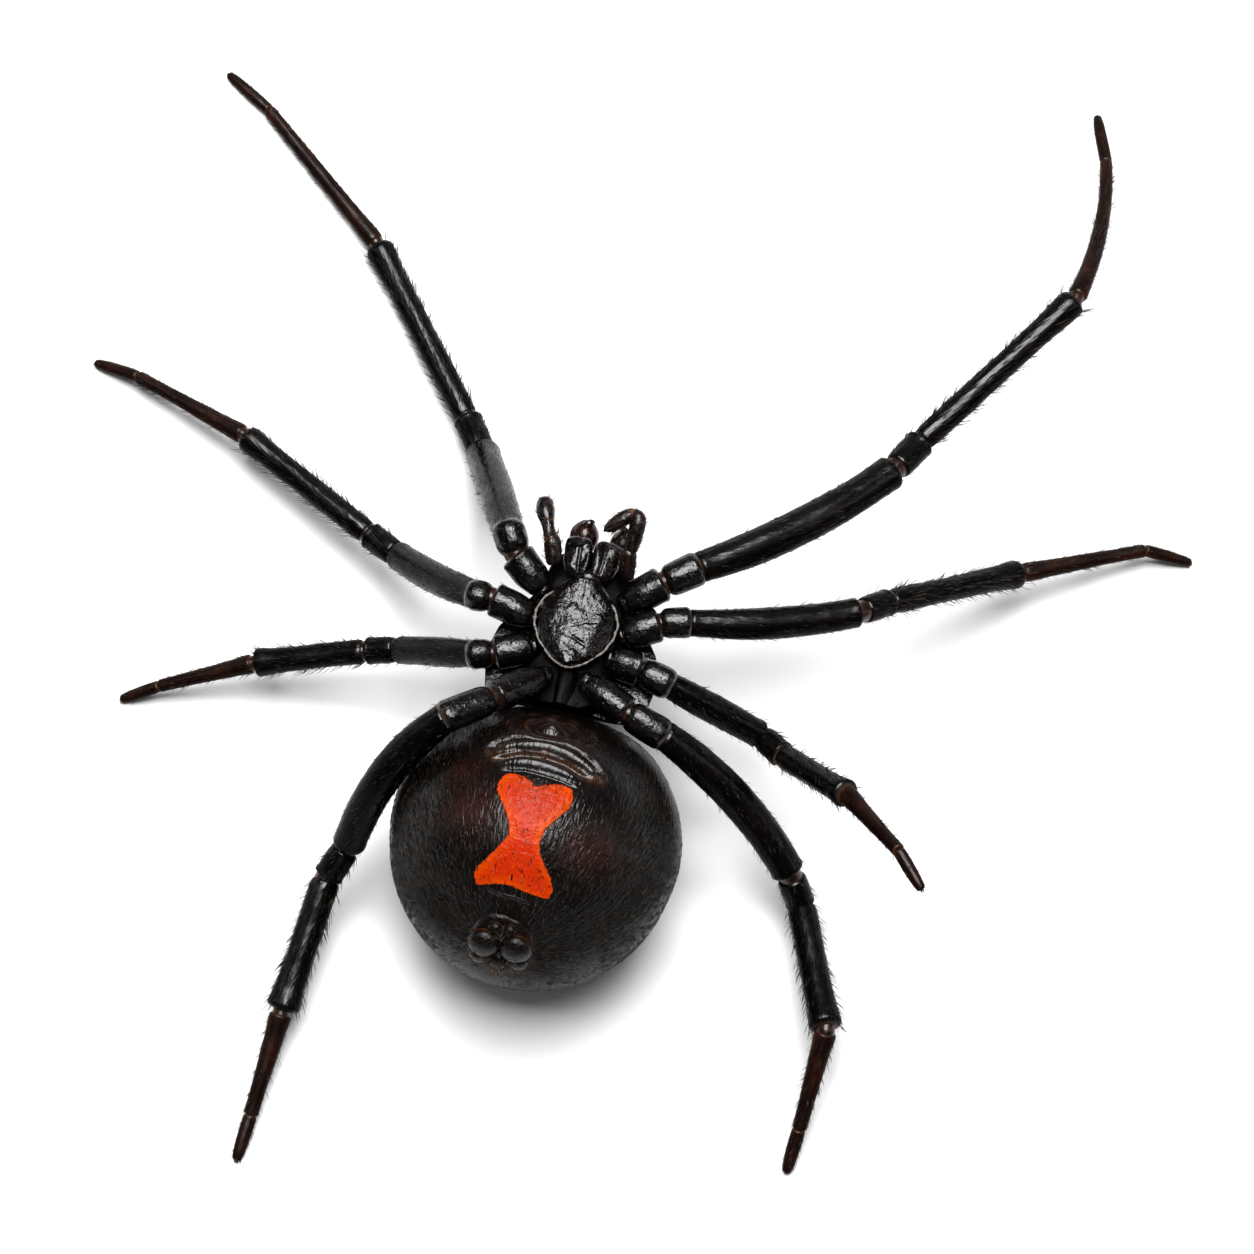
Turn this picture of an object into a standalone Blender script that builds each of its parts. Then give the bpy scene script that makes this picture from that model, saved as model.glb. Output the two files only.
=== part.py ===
# Black widow spider, a female, as a still life-size model that lies on its back with its legs spread.
# The belly with its hourglass faces up (+Z) and the head points along +Y. The animal's own left is +X.
# The origin is the middle of the small flat on which the abdomen rests. Every size below is in millimetres.

import math

import bmesh
import bpy
from mathutils import Vector

MM = 0.001
JOINT_GAP = 0.12  # clear space between two neighbouring nodes
FLOOR = 0.0

# Abdomen: a globe that is a little narrower towards the waist
ABDOMEN_RADIUS = 3.78
ABDOMEN_HALF_HEIGHT = 3.88
ABDOMEN_CENTRE_HEIGHT = 3.69
WAIST_DIRECTION = Vector((0.0, 0.914, 0.407))
WAIST_NARROWING = 0.03
WAIST_NARROWING_FROM = 0.75
SHOULDER_WAY = Vector((0.84, 0.54, 0.0))  # from the centre, on the left, and mirrored on the right
SHOULDER_WIDENING = 0.03
SHOULDER_FROM = 0.7
ABDOMEN_SEGMENTS = 48
ABDOMEN_RINGS = 28

# Two raised folds across the belly at its furrow, and the knob in front of them. Each fold: its angle from
# straight up towards the tail, reach to each side, swing of its ends to the tail, all in degrees, then radius
FURROW_FOLDS = ((-14.5, 17.0, 1.0, 0.13), (-25.0, 25.0, 9.0, 0.15))
FURROW_STEPS = 10
FURROW_END_SHARE = 0.45
FOLD_SINK = 0.04
KNOB_ANGLE = -43.0
KNOB_RADIUS = 0.36
KNOB_WIDTH_SHARE = 1.5

# Spinnerets: a low base with three pairs of blunt lobes and the anal knob
SPINNERET_ANGLE = 63.0
SPINNERET_BASE_RADIUS = 0.78
SPINNERET_BASE_HEIGHT = 0.3
# Each pair: distance from the middle, place along the tail line, radius, height, outward lean
SPINNERET_PAIRS = (
    (0.3, -0.04, 0.33, 0.72, 0.04),
    (0.16, 0.32, 0.17, 0.5, 0.02),
    (0.5, 0.36, 0.22, 0.56, 0.06),
)
ANAL_KNOB = (0.56, 0.19, 0.42)  # place along the tail line, radius, height

# Front body
PEDICEL_ENDS = ((0.0, 3.6, 5.24), (0.0, 4.2, 5.36))
PEDICEL_RADIUS = 0.27
CARAPACE_REAR = 3.78
CARAPACE_FRONT = 7.8
CARAPACE_EDGE_HEIGHT = 4.66
CARAPACE_RISE = 0.08
CARAPACE_DEPTH = 0.95
# Half-width of the carapace at shares of its length from rear to front
CARAPACE_OUTLINE = (
    (0.0, 1.0), (0.03, 1.75), (0.08, 2.08), (0.2, 2.26), (0.32, 2.27), (0.45, 2.12), (0.58, 1.74),
    (0.7, 1.4), (0.82, 1.22), (0.93, 1.12), (1.0, 0.9),
)
# Share of the full depth at the same kind of stations: a hollow thorax, then the raised head
CARAPACE_PROFILE = (
    (0.0, 0.45), (0.15, 0.78), (0.35, 0.82), (0.5, 0.86), (0.75, 1.0), (0.9, 0.92), (1.0, 0.7),
)
EYE_RADIUS = 0.11
# Each pair of eyes: distance from the middle line, y, height
EYE_PAIRS = ((0.17, 7.7, 4.3), (0.17, 7.5, 3.97), (0.5, 7.64, 4.36), (0.48, 7.46, 4.06))

STERNUM_MIDDLE = -0.06
STERNUM_REAR = 4.42
STERNUM_FRONT = 6.74
STERNUM_EDGE_HEIGHT = 5.72
STERNUM_DOME = 0.36
STERNUM_DEPTH = 0.78
STERNUM_OUTLINE = (
    (0.0, 0.16), (0.05, 0.42), (0.14, 0.66), (0.3, 0.88), (0.5, 1.0), (0.66, 0.99),
    (0.8, 0.86), (0.92, 0.66), (1.0, 0.46),
)

# Mouthparts: two plates that meet on the middle line, with the lip at their root
ENDITE_CENTRE = (0.31, 7.44, 5.74)
ENDITE_HALF = (0.36, 0.6, 0.32)
ENDITE_TURN = 6.0  # degrees, each towards the other at the front
LIP_CENTRE = (0.0, 7.02, 5.66)
LIP_HALF = (0.24, 0.14, 0.32)

# Fang bases, root and tip of each, and the fangs that fold in from their tips
CHELICERAE = {
    "right": ((-0.44, 7.98, 5.0), (-0.4, 8.46, 5.42)),
    "left": ((0.64, 7.94, 5.0), (0.74, 8.44, 5.42)),
}
CHELICERA_RADIUS = 0.4
CHELICERA_FORM = ((0.0, 0.6), (0.1, 0.88), (0.4, 1.0), (0.75, 0.92), (1.0, 0.7), (1.12, 0.35))
FANG_REACH = 0.34  # towards the middle line
FANG_LIFT = 0.3
FANG_RADII = (0.13, 0.1, 0.05)

# Palps, from the root outward: point, then radius
PALPS = {
    "right": (
        ((-0.97, 7.12, 5.76), 0.15), ((-1.0, 7.2, 5.8), 0.21), ((-1.12, 7.6, 5.95), 0.22),
        ((-1.17, 7.7, 5.97), 0.16), ((-1.24, 7.82, 5.98), 0.18), ((-1.34, 8.06, 5.98), 0.18),
        ((-1.38, 8.16, 5.98), 0.15), ((-1.42, 8.24, 5.98), 0.22), ((-1.5, 8.46, 5.95), 0.25),
        ((-1.57, 8.72, 5.9), 0.2), ((-1.6, 8.84, 5.88), 0.1),
    ),
    "left": (
        ((0.96, 7.1, 5.78), 0.15), ((0.96, 7.2, 5.86), 0.21), ((0.93, 7.62, 6.2), 0.22),
        ((0.94, 7.72, 6.26), 0.16), ((0.96, 7.82, 6.32), 0.2), ((1.02, 8.36, 6.55), 0.21),
        ((0.99, 8.54, 6.6), 0.19), ((0.85, 8.62, 6.58), 0.16), ((0.7, 8.54, 6.54), 0.2),
        ((0.42, 8.3, 6.45), 0.19), ((0.16, 8.08, 6.36), 0.08),
    ),
}

# Legs. Each pair has one set of lengths and radii: femur, knee, shin, long foot joint, toe joint
LEG_LENGTHS = {
    1: (6.3, 1.25, 5.9, 5.2, 1.65),
    2: (4.75, 1.1, 4.65, 3.7, 1.42),
    3: (3.5, 0.95, 3.2, 2.8, 1.2),
    4: (5.5, 1.05, 3.75, 2.87, 1.25),
}
LEG_RADII = {
    1: (0.49, 0.4, 0.35, 0.25, 0.25),
    2: (0.42, 0.37, 0.34, 0.25, 0.25),
    3: (0.39, 0.36, 0.34, 0.25, 0.25),
    4: (0.47, 0.39, 0.4, 0.26, 0.25),
}
# Pose of each leg: root of the hip, end of the hip, start of the femur, then how far each length rises
# above the level and its heading, in degrees. A bow is how far the middle of a length stands off its line
POSES = {
    "right_1": {
        "hip": ((-1.2, 6.53, 5.4), (-2.04, 7.22, 5.6), (-2.3, 7.69, 5.7)),
        "rise": (-49.3, -13.6, -2.5, -1.6), "heading": (114.3, 123.5, 128.0, 139.0, 147.5),
    },
    "right_2": {
        "hip": ((-1.3, 5.68, 5.38), (-2.4, 5.95, 5.42), (-2.79, 5.96, 5.4)),
        "rise": (-47.0, -14.0, -6.0, -10.0), "heading": (147.0, 151.0, 151.0, 159.0, 167.5),
        "femur_bow": (0.05, -0.12, 0.0),
    },
    "right_3": {
        "hip": ((-1.14, 4.86, 5.36), (-2.04, 4.52, 5.26), (-2.48, 4.42, 5.2)),
        "rise": (-47.5, -19.0, -16.0, -17.5), "heading": (168.5, -172.0, -167.0, -159.5, -156.0),
    },
    "right_4": {
        "hip": ((-0.62, 4.02, 5.74), (-1.72, 2.98, 6.35), (-2.69, 2.17, 6.65)),
        "rise": (-48.5, -28.0, -13.0, -17.0), "heading": (-128.0, -115.5, -97.0, -95.5, -95.5),
        "femur_bow": (-0.26, 0.1, 0.45),
    },
    "left_1": {
        "hip": ((1.13, 6.6, 5.42), (1.98, 7.28, 5.58), (2.74, 7.84, 5.6)),
        "rise": (-11.0, -17.5, 2.0, -20.0), "heading": (43.0, 63.0, 55.5, 89.0, 108.0),
        "femur_bow": (0.16, -0.19, 0.0), "foot_bow": (0.24, 0.02, 0.0), "toe_height": 2.0,
    },
    "left_2": {
        "hip": ((1.26, 5.72, 5.4), (2.1, 6.18, 5.42), (2.81, 6.37, 5.4)),
        "rise": (-13.0, -33.0, -29.5, -12.5), "heading": (20.0, 43.0, 35.0, 27.0, 4.0),
        "femur_bow": (0.05, -0.15, 0.0),
    },
    "left_3": {
        "hip": ((1.12, 4.92, 5.36), (1.85, 4.88, 5.24), (2.52, 4.68, 5.2)),
        "rise": (-40.0, 19.0, 43.0, 34.5), "heading": (-4.5, -36.5, -35.0, -46.0, -49.5), "toe_height": 7.1,
    },
    "left_4": {
        "hip": ((0.6, 4.12, 5.6), (1.77, 3.54, 5.56), (2.74, 3.23, 5.36)),
        "rise": (-35.0, -47.0, 12.5, -31.5), "heading": (-28.5, -52.5, -68.5, -94.5, -96.0),
        "femur_bow": (0.2, 0.22, 0.0),
    },
}
STRAIGHT = (0.0, 0.0, 0.0)
COXA_RADII = {1: (0.32, 0.45), 2: (0.32, 0.43), 3: (0.31, 0.41), 4: (0.3, 0.4)}
TROCHANTER_RADII = {1: (0.36, 0.42), 2: (0.34, 0.38), 3: (0.33, 0.37), 4: (0.34, 0.39)}
TOE_TIP_RADIUS = 0.13
TOE_TIP_HEIGHT = 0.1  # of the toe's axis above the floor, so that a small flat is cut
LEG_SIDES_RESOLUTION = 3
FOOT_SIDES_RESOLUTION = 2

# Shares of a length, and of its radius there
FEMUR_FORM = (
    (0.0, 0.62), (0.025, 0.74), (0.1, 0.84), (0.3, 0.97), (0.55, 1.0), (0.8, 0.97), (0.95, 0.9), (1.0, 0.7),
)
KNEE_FORM = ((0.0, 0.66), (0.1, 0.9), (0.45, 1.0), (0.85, 0.98), (0.95, 0.78))
SHIN_FORM = ((0.02, 0.84), (0.07, 0.96), (0.4, 0.95), (0.8, 0.98), (0.955, 1.1), (1.0, 0.74))
FOOT_FORM = ((0.0, 0.84), (0.025, 1.1), (0.25, 1.04), (0.5, 1.0), (0.75, 0.98), (0.97, 0.98), (0.995, 0.88))
TOE_FORM = ((0.02, 0.94), (0.5, 0.96), (0.8, 0.82))

# The dome at a rounded end: how far it is drawn in, and its radii, as shares of the end's own radius
DOME_DEPTH = 0.3
DOME_RADII = (0.5, 0.9)

SHELL_BLACK = (0.012, 0.011, 0.012)
FOOT_BROWN = (0.045, 0.02, 0.013)
PALP_BROWN = (0.09, 0.028, 0.012)


def finish(name, colour, roughness):
    """A plain shell material of one colour."""
    material = bpy.data.materials.new(name)
    material.use_nodes = True
    shader = material.node_tree.nodes["Principled BSDF"]
    shader.inputs["Base Color"].default_value = (*colour, 1.0)
    shader.inputs["Roughness"].default_value = roughness
    shader.inputs["Metallic"].default_value = 0.0
    return material


def add_object(name, mesh, collection, material=None):
    piece = bpy.data.objects.new(name, mesh)
    collection.objects.link(piece)
    if material:
        mesh.materials.clear()
        mesh.materials.append(material)
    return piece


def between(stations, share):
    """The value at a share of the way along a list of (share, value) stations."""
    for (start, first), (end, last) in zip(stations, stations[1:]):
        if share <= end:
            return first + (last - first) * (share - start) / (end - start)
    return stations[-1][1]


def signed_power(value, power):
    return math.copysign(abs(value) ** power, value)


def face_outward(shape):
    bmesh.ops.recalc_face_normals(shape, faces=shape.faces)
    if shape.calc_volume(signed=True) < 0.0:
        bmesh.ops.reverse_faces(shape, faces=shape.faces)


def ball(name, segments, rings, place, collection):
    """A UV sphere whose points are each moved to place(direction), in millimetres."""
    shape = bmesh.new()
    bmesh.ops.create_uvsphere(shape, u_segments=segments, v_segments=rings, radius=1.0)
    for vertex in shape.verts:
        vertex.co = place(vertex.co.normalized()) * MM
    face_outward(shape)
    mesh = bpy.data.meshes.new(name)
    shape.to_mesh(mesh)
    shape.free()
    return add_object(name, mesh, collection)


def ellipsoid(name, centre, half, collection, turn=0.0, segments=12, rings=8):
    """An egg of the given half sizes, turned about the vertical by some degrees."""
    angle = math.radians(turn)

    def place(way):
        x, y = way.x * half[0], way.y * half[1]
        return Vector((
            centre[0] + x * math.cos(angle) - y * math.sin(angle),
            centre[1] + x * math.sin(angle) + y * math.cos(angle),
            centre[2] + way.z * half[2],
        ))

    return ball(name, segments, rings, place, collection)


def tube(name, stations, collection, resolution=LEG_SIDES_RESOLUTION):
    """A round tapered rod through (point, radius) stations, with closed ends."""
    curve = bpy.data.curves.new(name, "CURVE")
    curve.dimensions = "3D"
    curve.bevel_depth = MM
    curve.bevel_resolution = resolution
    curve.use_fill_caps = True
    spline = curve.splines.new("POLY")
    spline.points.add(len(stations) - 1)
    for control, (point, radius) in zip(spline.points, stations):
        control.co = (*(Vector(point) * MM), 1.0)
        control.radius = radius
    guide = bpy.data.objects.new(name + "_guide", curve)
    collection.objects.link(guide)
    mesh = evaluated_mesh(guide, name)
    bpy.data.objects.remove(guide)
    bpy.data.curves.remove(curve)
    shape = bmesh.new()
    shape.from_mesh(mesh)
    bmesh.ops.remove_doubles(shape, verts=shape.verts, dist=MM * 1e-4)
    face_outward(shape)
    shape.to_mesh(mesh)
    shape.free()
    return add_object(name, mesh, collection)


def evaluated_mesh(piece, name):
    bpy.context.view_layer.update()
    graph = bpy.context.evaluated_depsgraph_get()
    mesh = bpy.data.meshes.new_from_object(piece.evaluated_get(graph))
    mesh.name = name
    return mesh


def keep_largest(mesh):
    """Removes all but the largest of a mesh's separate surfaces."""
    shape = bmesh.new()
    shape.from_mesh(mesh)
    unseen = set(shape.verts)
    surfaces = []
    while unseen:
        start = unseen.pop()
        surface, edge_of_search = [start], [start]
        while edge_of_search:
            for edge in edge_of_search.pop().link_edges:
                for vertex in edge.verts:
                    if vertex in unseen:
                        unseen.remove(vertex)
                        surface.append(vertex)
                        edge_of_search.append(vertex)
        surfaces.append(surface)

    def reach(surface):
        sides = ([vertex.co[axis] for vertex in surface] for axis in range(3))
        return math.prod(max(side) - min(side) for side in sides)

    surfaces.sort(key=reach)
    for surface in surfaces[:-1]:
        bmesh.ops.delete(shape, geom=surface, context="VERTS")
    shape.to_mesh(mesh)
    shape.free()


def join_or_cut(body, pieces, operation):
    """Unites the pieces with the body, or cuts them from it, and removes them."""
    group = bpy.data.collections.new(body.name + "_pieces")
    bpy.context.scene.collection.children.link(group)
    for piece in pieces:
        for owner in list(piece.users_collection):
            owner.objects.unlink(piece)
        group.objects.link(piece)
    change = body.modifiers.new("change", "BOOLEAN")
    change.operation = operation
    change.solver = "EXACT"
    change.operand_type = "COLLECTION"
    change.collection = group
    mesh = evaluated_mesh(body, body.name)
    body.modifiers.remove(change)
    old = body.data
    body.data = mesh
    bpy.data.meshes.remove(old)
    for piece in pieces:
        bpy.data.objects.remove(piece)
    bpy.data.collections.remove(group)
    keep_largest(body.data)
    body.data.name = body.name


def clear_floor(body):
    """Cuts away what would reach below the level on which the model rests."""
    reach = 60.0 * MM
    shape = bmesh.new()
    bmesh.ops.create_cube(shape, size=reach)
    bmesh.ops.translate(shape, verts=shape.verts, vec=(0.0, 0.0, FLOOR * MM - reach / 2))
    mesh = bpy.data.meshes.new("floor_cutter")
    shape.to_mesh(mesh)
    shape.free()
    cutter = bpy.data.objects.new("floor_cutter", mesh)
    cutter.hide_render = True
    cutter.display_type = "WIRE"
    join_or_cut(body, [cutter], "DIFFERENCE")


def dress(piece, material):
    piece.data.materials.clear()
    piece.data.materials.append(material)
    piece.data.shade_smooth()
    piece.data.set_sharp_from_angle(angle=math.radians(40))
    return piece


def belly_way(tail_angle, side_angle=0.0):
    """Direction from the abdomen's centre: degrees from straight up towards the tail, and to the left."""
    tail, side = math.radians(tail_angle), math.radians(side_angle)
    return Vector((math.sin(side), -math.sin(tail) * math.cos(side), math.cos(tail) * math.cos(side)))


def eased(value, start):
    """0 up to the start value, then a smooth rise to 1 at the value 1."""
    share = min(max((value - start) / (1.0 - start), 0.0), 1.0)
    return share * share * (3.0 - 2.0 * share)


def abdomen_point(way, lift=0.0):
    """Point of the abdomen's skin in a direction from its centre, or some way above the skin."""
    waist = eased(way.dot(WAIST_DIRECTION), WAIST_NARROWING_FROM)
    shoulder = eased(Vector((abs(way.x), way.y, way.z)).dot(SHOULDER_WAY), SHOULDER_FROM)
    radius = ABDOMEN_RADIUS * (1.0 - WAIST_NARROWING * waist + SHOULDER_WIDENING * shoulder) + lift
    height = ABDOMEN_CENTRE_HEIGHT + way.z * radius * ABDOMEN_HALF_HEIGHT / ABDOMEN_RADIUS
    return Vector((way.x * radius, way.y * radius, max(height, FLOOR)))


def make_abdomen(parts):
    body = ball("abdomen", ABDOMEN_SEGMENTS, ABDOMEN_RINGS, abdomen_point, parts)
    folds = []
    for number, (angle, reach, swing, radius) in enumerate(FURROW_FOLDS):
        stations = []
        for step in range(FURROW_STEPS + 1):
            side = 2.0 * step / FURROW_STEPS - 1.0
            way = belly_way(angle + swing * side * side, reach * side)
            thickness = 1.0 - (1.0 - FURROW_END_SHARE) * side**4
            stations.append((abdomen_point(way, -FOLD_SINK), radius * thickness))
        folds.append(tube(f"fold_{number}", stations, parts, FOOT_SIDES_RESOLUTION))
    half = (KNOB_RADIUS * KNOB_WIDTH_SHARE, KNOB_RADIUS, KNOB_RADIUS)
    folds.append(ellipsoid("knob", abdomen_point(belly_way(KNOB_ANGLE), -FOLD_SINK), half, parts))
    join_or_cut(body, folds, "UNION")
    return body


def make_spinnerets(parts):
    out = belly_way(SPINNERET_ANGLE)
    tail = belly_way(SPINNERET_ANGLE + 90.0)
    side = Vector((1.0, 0.0, 0.0))
    foot = abdomen_point(out, JOINT_GAP)

    def lobe(name, across, astern, radius, height, lean):
        root = foot + side * across + tail * astern
        top = root + out * height + side * math.copysign(lean, across)
        stations = (
            (root + out * 0.05, radius * 0.8), (root.lerp(top, 0.35), radius),
            (root.lerp(top, 0.75), radius * 0.85), (root.lerp(top, 0.94), radius * 0.5),
            (top, radius * 0.25),
        )
        return tube(name, stations, parts, FOOT_SIDES_RESOLUTION)

    rise = out * SPINNERET_BASE_HEIGHT
    base = tube("spinnerets", (
        (foot, SPINNERET_BASE_RADIUS * 0.94), (foot + rise * 0.5, SPINNERET_BASE_RADIUS),
        (foot + rise, SPINNERET_BASE_RADIUS * 0.8),
    ), parts)
    lobes = [
        lobe(f"lobe_{number}_{way}", way * across, astern, radius, height, lean)
        for number, (across, astern, radius, height, lean) in enumerate(SPINNERET_PAIRS)
        for way in (-1, 1)
    ]
    astern, radius, height = ANAL_KNOB
    lobes.append(lobe("anal_knob", 0.0, astern, radius, height, 0.0))
    join_or_cut(base, lobes, "UNION")
    return base


def make_pedicel(parts):
    ends = [Vector(end) for end in PEDICEL_ENDS]
    form = ((0.0, 0.9), (0.3, 1.0), (0.6, 0.85), (1.0, 1.0))
    return tube("pedicel", along(ends[0], ends[1], form, PEDICEL_RADIUS), parts)


def make_carapace(parts):
    def place(way):
        share = way.z * 0.5 + 0.5
        around = Vector((way.x, way.y))
        if around.length < 1e-6:
            around = Vector((0.0, 0.0))
        else:
            around.normalize()
        depth = CARAPACE_DEPTH * between(CARAPACE_PROFILE, share) if around.y < 0.0 else CARAPACE_RISE
        return Vector((
            around.x * between(CARAPACE_OUTLINE, share),
            CARAPACE_REAR + share * (CARAPACE_FRONT - CARAPACE_REAR),
            CARAPACE_EDGE_HEIGHT + around.y * depth,
        ))

    body = ball("carapace", 24, 22, place, parts)
    eyes = [
        ellipsoid(f"eye_{number}_{way}", (way * across, y, z), (EYE_RADIUS,) * 3, parts, segments=8, rings=6)
        for number, (across, y, z) in enumerate(EYE_PAIRS)
        for way in (-1, 1)
    ]
    join_or_cut(body, eyes, "UNION")
    return body


def make_sternum(parts):
    def place(way):
        share = way.z * 0.5 + 0.5
        around = Vector((way.x, way.y))
        if around.length < 1e-6:
            around = Vector((0.0, 0.0))
        else:
            around.normalize()
        depth = STERNUM_DEPTH if around.y < 0.0 else STERNUM_DOME
        return Vector((
            STERNUM_MIDDLE + signed_power(around.x, 0.6) * between(STERNUM_OUTLINE, share),
            STERNUM_REAR + share * (STERNUM_FRONT - STERNUM_REAR),
            STERNUM_EDGE_HEIGHT + signed_power(around.y, 0.8) * depth,
        ))

    return ball("sternum", 24, 16, place, parts)


def make_mouthparts(parts):
    x, y, z = ENDITE_CENTRE
    body = ellipsoid("mouthparts", (x, y, z), ENDITE_HALF, parts, turn=ENDITE_TURN, segments=16, rings=12)
    others = [
        ellipsoid("endite_right", (-x, y, z), ENDITE_HALF, parts, turn=-ENDITE_TURN, segments=16, rings=12),
        ellipsoid("lip", LIP_CENTRE, LIP_HALF, parts),
    ]
    join_or_cut(body, others, "UNION")
    return body


def make_chelicera(side, parts):
    root, tip = (Vector(end) for end in CHELICERAE[side])
    stations = [(root.lerp(tip, share), CHELICERA_RADIUS * width) for share, width in CHELICERA_FORM]
    body = tube(f"chelicera_{side}", stations, parts)
    inward = -1.0 if side == "left" else 1.0
    fang = []
    for share, radius in zip((0.0, 0.5, 1.0), FANG_RADII):
        lift = FANG_LIFT * math.sin(share * math.pi / 2)
        fang.append((tip + Vector((inward * FANG_REACH * share, 0.0, lift)), radius))
    join_or_cut(body, [tube("fang", fang, parts, FOOT_SIDES_RESOLUTION)], "UNION")
    return body


def make_palp(side, parts):
    return tube(f"palp_{side}", PALPS[side], parts)


def heading_step(length, rise, heading):
    rise, heading = math.radians(rise), math.radians(heading)
    level = length * math.cos(rise)
    return Vector((level * math.cos(heading), level * math.sin(heading), length * math.sin(rise)))


def leg_joints(pair, pose):
    """The ends of the five lengths of a leg from the start of its femur. The toe comes down to its height."""
    joints = [Vector(pose["hip"][2])]
    for length, rise, heading in zip(LEG_LENGTHS[pair], pose["rise"], pose["heading"]):
        joints.append(joints[-1] + heading_step(length, rise, heading))
    toe = LEG_LENGTHS[pair][4]
    drop = pose.get("toe_height", TOE_TIP_HEIGHT) - joints[-1].z
    joints.append(joints[-1] + heading_step(toe, math.degrees(math.asin(drop / toe)), pose["heading"][4]))
    return joints


def along(start, end, form, radius, bow=STRAIGHT):
    """Stations from one joint to the next, for a form given as shares of the length and of the radius."""
    bow = 4.0 * Vector(bow)
    return [
        (start.lerp(end, share) + bow * share * (1.0 - share), radius * width)
        for share, width in form
    ]


def stand_back(radius, way_in, way_out):
    """How far an end of this radius stands back from its joint, to leave the joint gap clear in the bend."""
    half = way_in.angle(way_out) / 2.0
    return (JOINT_GAP / 2 + DOME_RADII[0] * radius * math.sin(half)) / math.cos(half)


def dome(stations):
    """The two stations that draw the first end in to a dome."""
    (end, radius), (inner, _) = stations[:2]
    way = inner - end
    depth = min(DOME_DEPTH * radius, way.length / 2.0)
    return [(end, radius * DOME_RADII[0]), (end + way.normalized() * depth, radius * DOME_RADII[1])]


def rounded(stations):
    """The stations with each end drawn in to a dome."""
    return dome(stations) + stations[1:-1] + dome(stations[::-1])[::-1]


def make_hip(name, pair, pose, femur_way, parts):
    root, knuckle, end = (Vector(point) for point in pose["hip"])
    way = end - knuckle
    end -= way.normalized() * stand_back(TROCHANTER_RADII[pair][1], way, femur_way)
    first, last = COXA_RADII[pair]
    stations = [
        (root, first * 0.85), (root.lerp(knuckle, 0.12), first),
        (root.lerp(knuckle, 0.5), (first + last) * 0.53),
        (root.lerp(knuckle, 0.88), last), (root.lerp(knuckle, 0.97), last * 0.9),
    ]
    first, last = TROCHANTER_RADII[pair]
    stations += [
        (knuckle.lerp(end, 0.06), first * 0.86), (knuckle.lerp(end, 0.22), first),
        (knuckle.lerp(end, 0.5), last), (end, last * 0.85),
    ]
    return tube(name + "_hip", rounded(stations), parts)


def make_leg(side, pair, parts, materials):
    name = f"leg_{side}_{pair}"
    pose = POSES[f"{side}_{pair}"]
    joints = leg_joints(pair, pose)
    femur, knee, shin, foot, toe = LEG_RADII[pair]
    ways = [after - before for before, after in zip(joints, joints[1:])]
    bow = 4.0 * Vector(pose.get("femur_bow", STRAIGHT))
    bowed = (ways[0] + bow, ways[0] - bow)
    hip_way = Vector(pose["hip"][2]) - Vector(pose["hip"][1])

    def step_off(number, radius, way_in, way_out, way):
        return joints[number] + way.normalized() * stand_back(radius, way_in, way_out)

    start = step_off(0, femur, hip_way, bowed[0], bowed[0])
    end = step_off(1, femur, bowed[1], ways[1], -bowed[1])
    upper = along(start, end, FEMUR_FORM, femur, bow / 4.0)
    thigh = tube(name + "_femur", rounded(upper), parts)
    start = step_off(1, knee, bowed[1], ways[1], ways[1])
    end = step_off(3, shin, ways[2], ways[3], -ways[2])
    lower = along(start, joints[2], KNEE_FORM, knee) + along(joints[2], end, SHIN_FORM, shin)
    shank = tube(name + "_tibia", rounded(lower), parts)
    start = step_off(3, foot, ways[2], ways[3], ways[3])
    last = along(start, joints[4], FOOT_FORM, foot, pose.get("foot_bow", STRAIGHT))
    last += along(joints[4], joints[5], TOE_FORM, toe) + [(joints[5], TOE_TIP_RADIUS)]
    sole = tube(name + "_foot", rounded(last), parts, FOOT_SIDES_RESOLUTION)
    if "toe_height" not in pose:
        clear_floor(sole)
    dress(make_hip(name, pair, pose, bowed[0], parts), materials["shell"])
    dress(thigh, materials["leg"])
    dress(shank, materials["leg"])
    dress(sole, materials["foot"])


def main():
    for piece in list(bpy.data.objects):
        bpy.data.objects.remove(piece, do_unlink=True)
    parts = bpy.data.collections.new("black_widow_spider")
    bpy.context.scene.collection.children.link(parts)
    materials = {
        "shell": finish("glossy_black_shell", SHELL_BLACK, 0.25),
        "leg": finish("satin_black_leg", SHELL_BLACK, 0.4),
        "skin": finish("satin_black_skin", SHELL_BLACK, 0.35),
        "foot": finish("dark_brown_foot", FOOT_BROWN, 0.4),
        "palp": finish("red_brown_palp", PALP_BROWN, 0.3),
    }
    dress(make_abdomen(parts), materials["skin"])
    dress(make_spinnerets(parts), materials["palp"])
    dress(make_pedicel(parts), materials["shell"])
    dress(make_carapace(parts), materials["shell"])
    dress(make_sternum(parts), materials["shell"])
    dress(make_mouthparts(parts), materials["shell"])
    for side in ("right", "left"):
        dress(make_chelicera(side, parts), materials["palp"])
        dress(make_palp(side, parts), materials["palp"])
        for pair in LEG_LENGTHS:
            make_leg(side, pair, parts, materials)


main()
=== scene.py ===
import math

import bpy
import numpy as np
from mathutils import Matrix, Vector, noise


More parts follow.
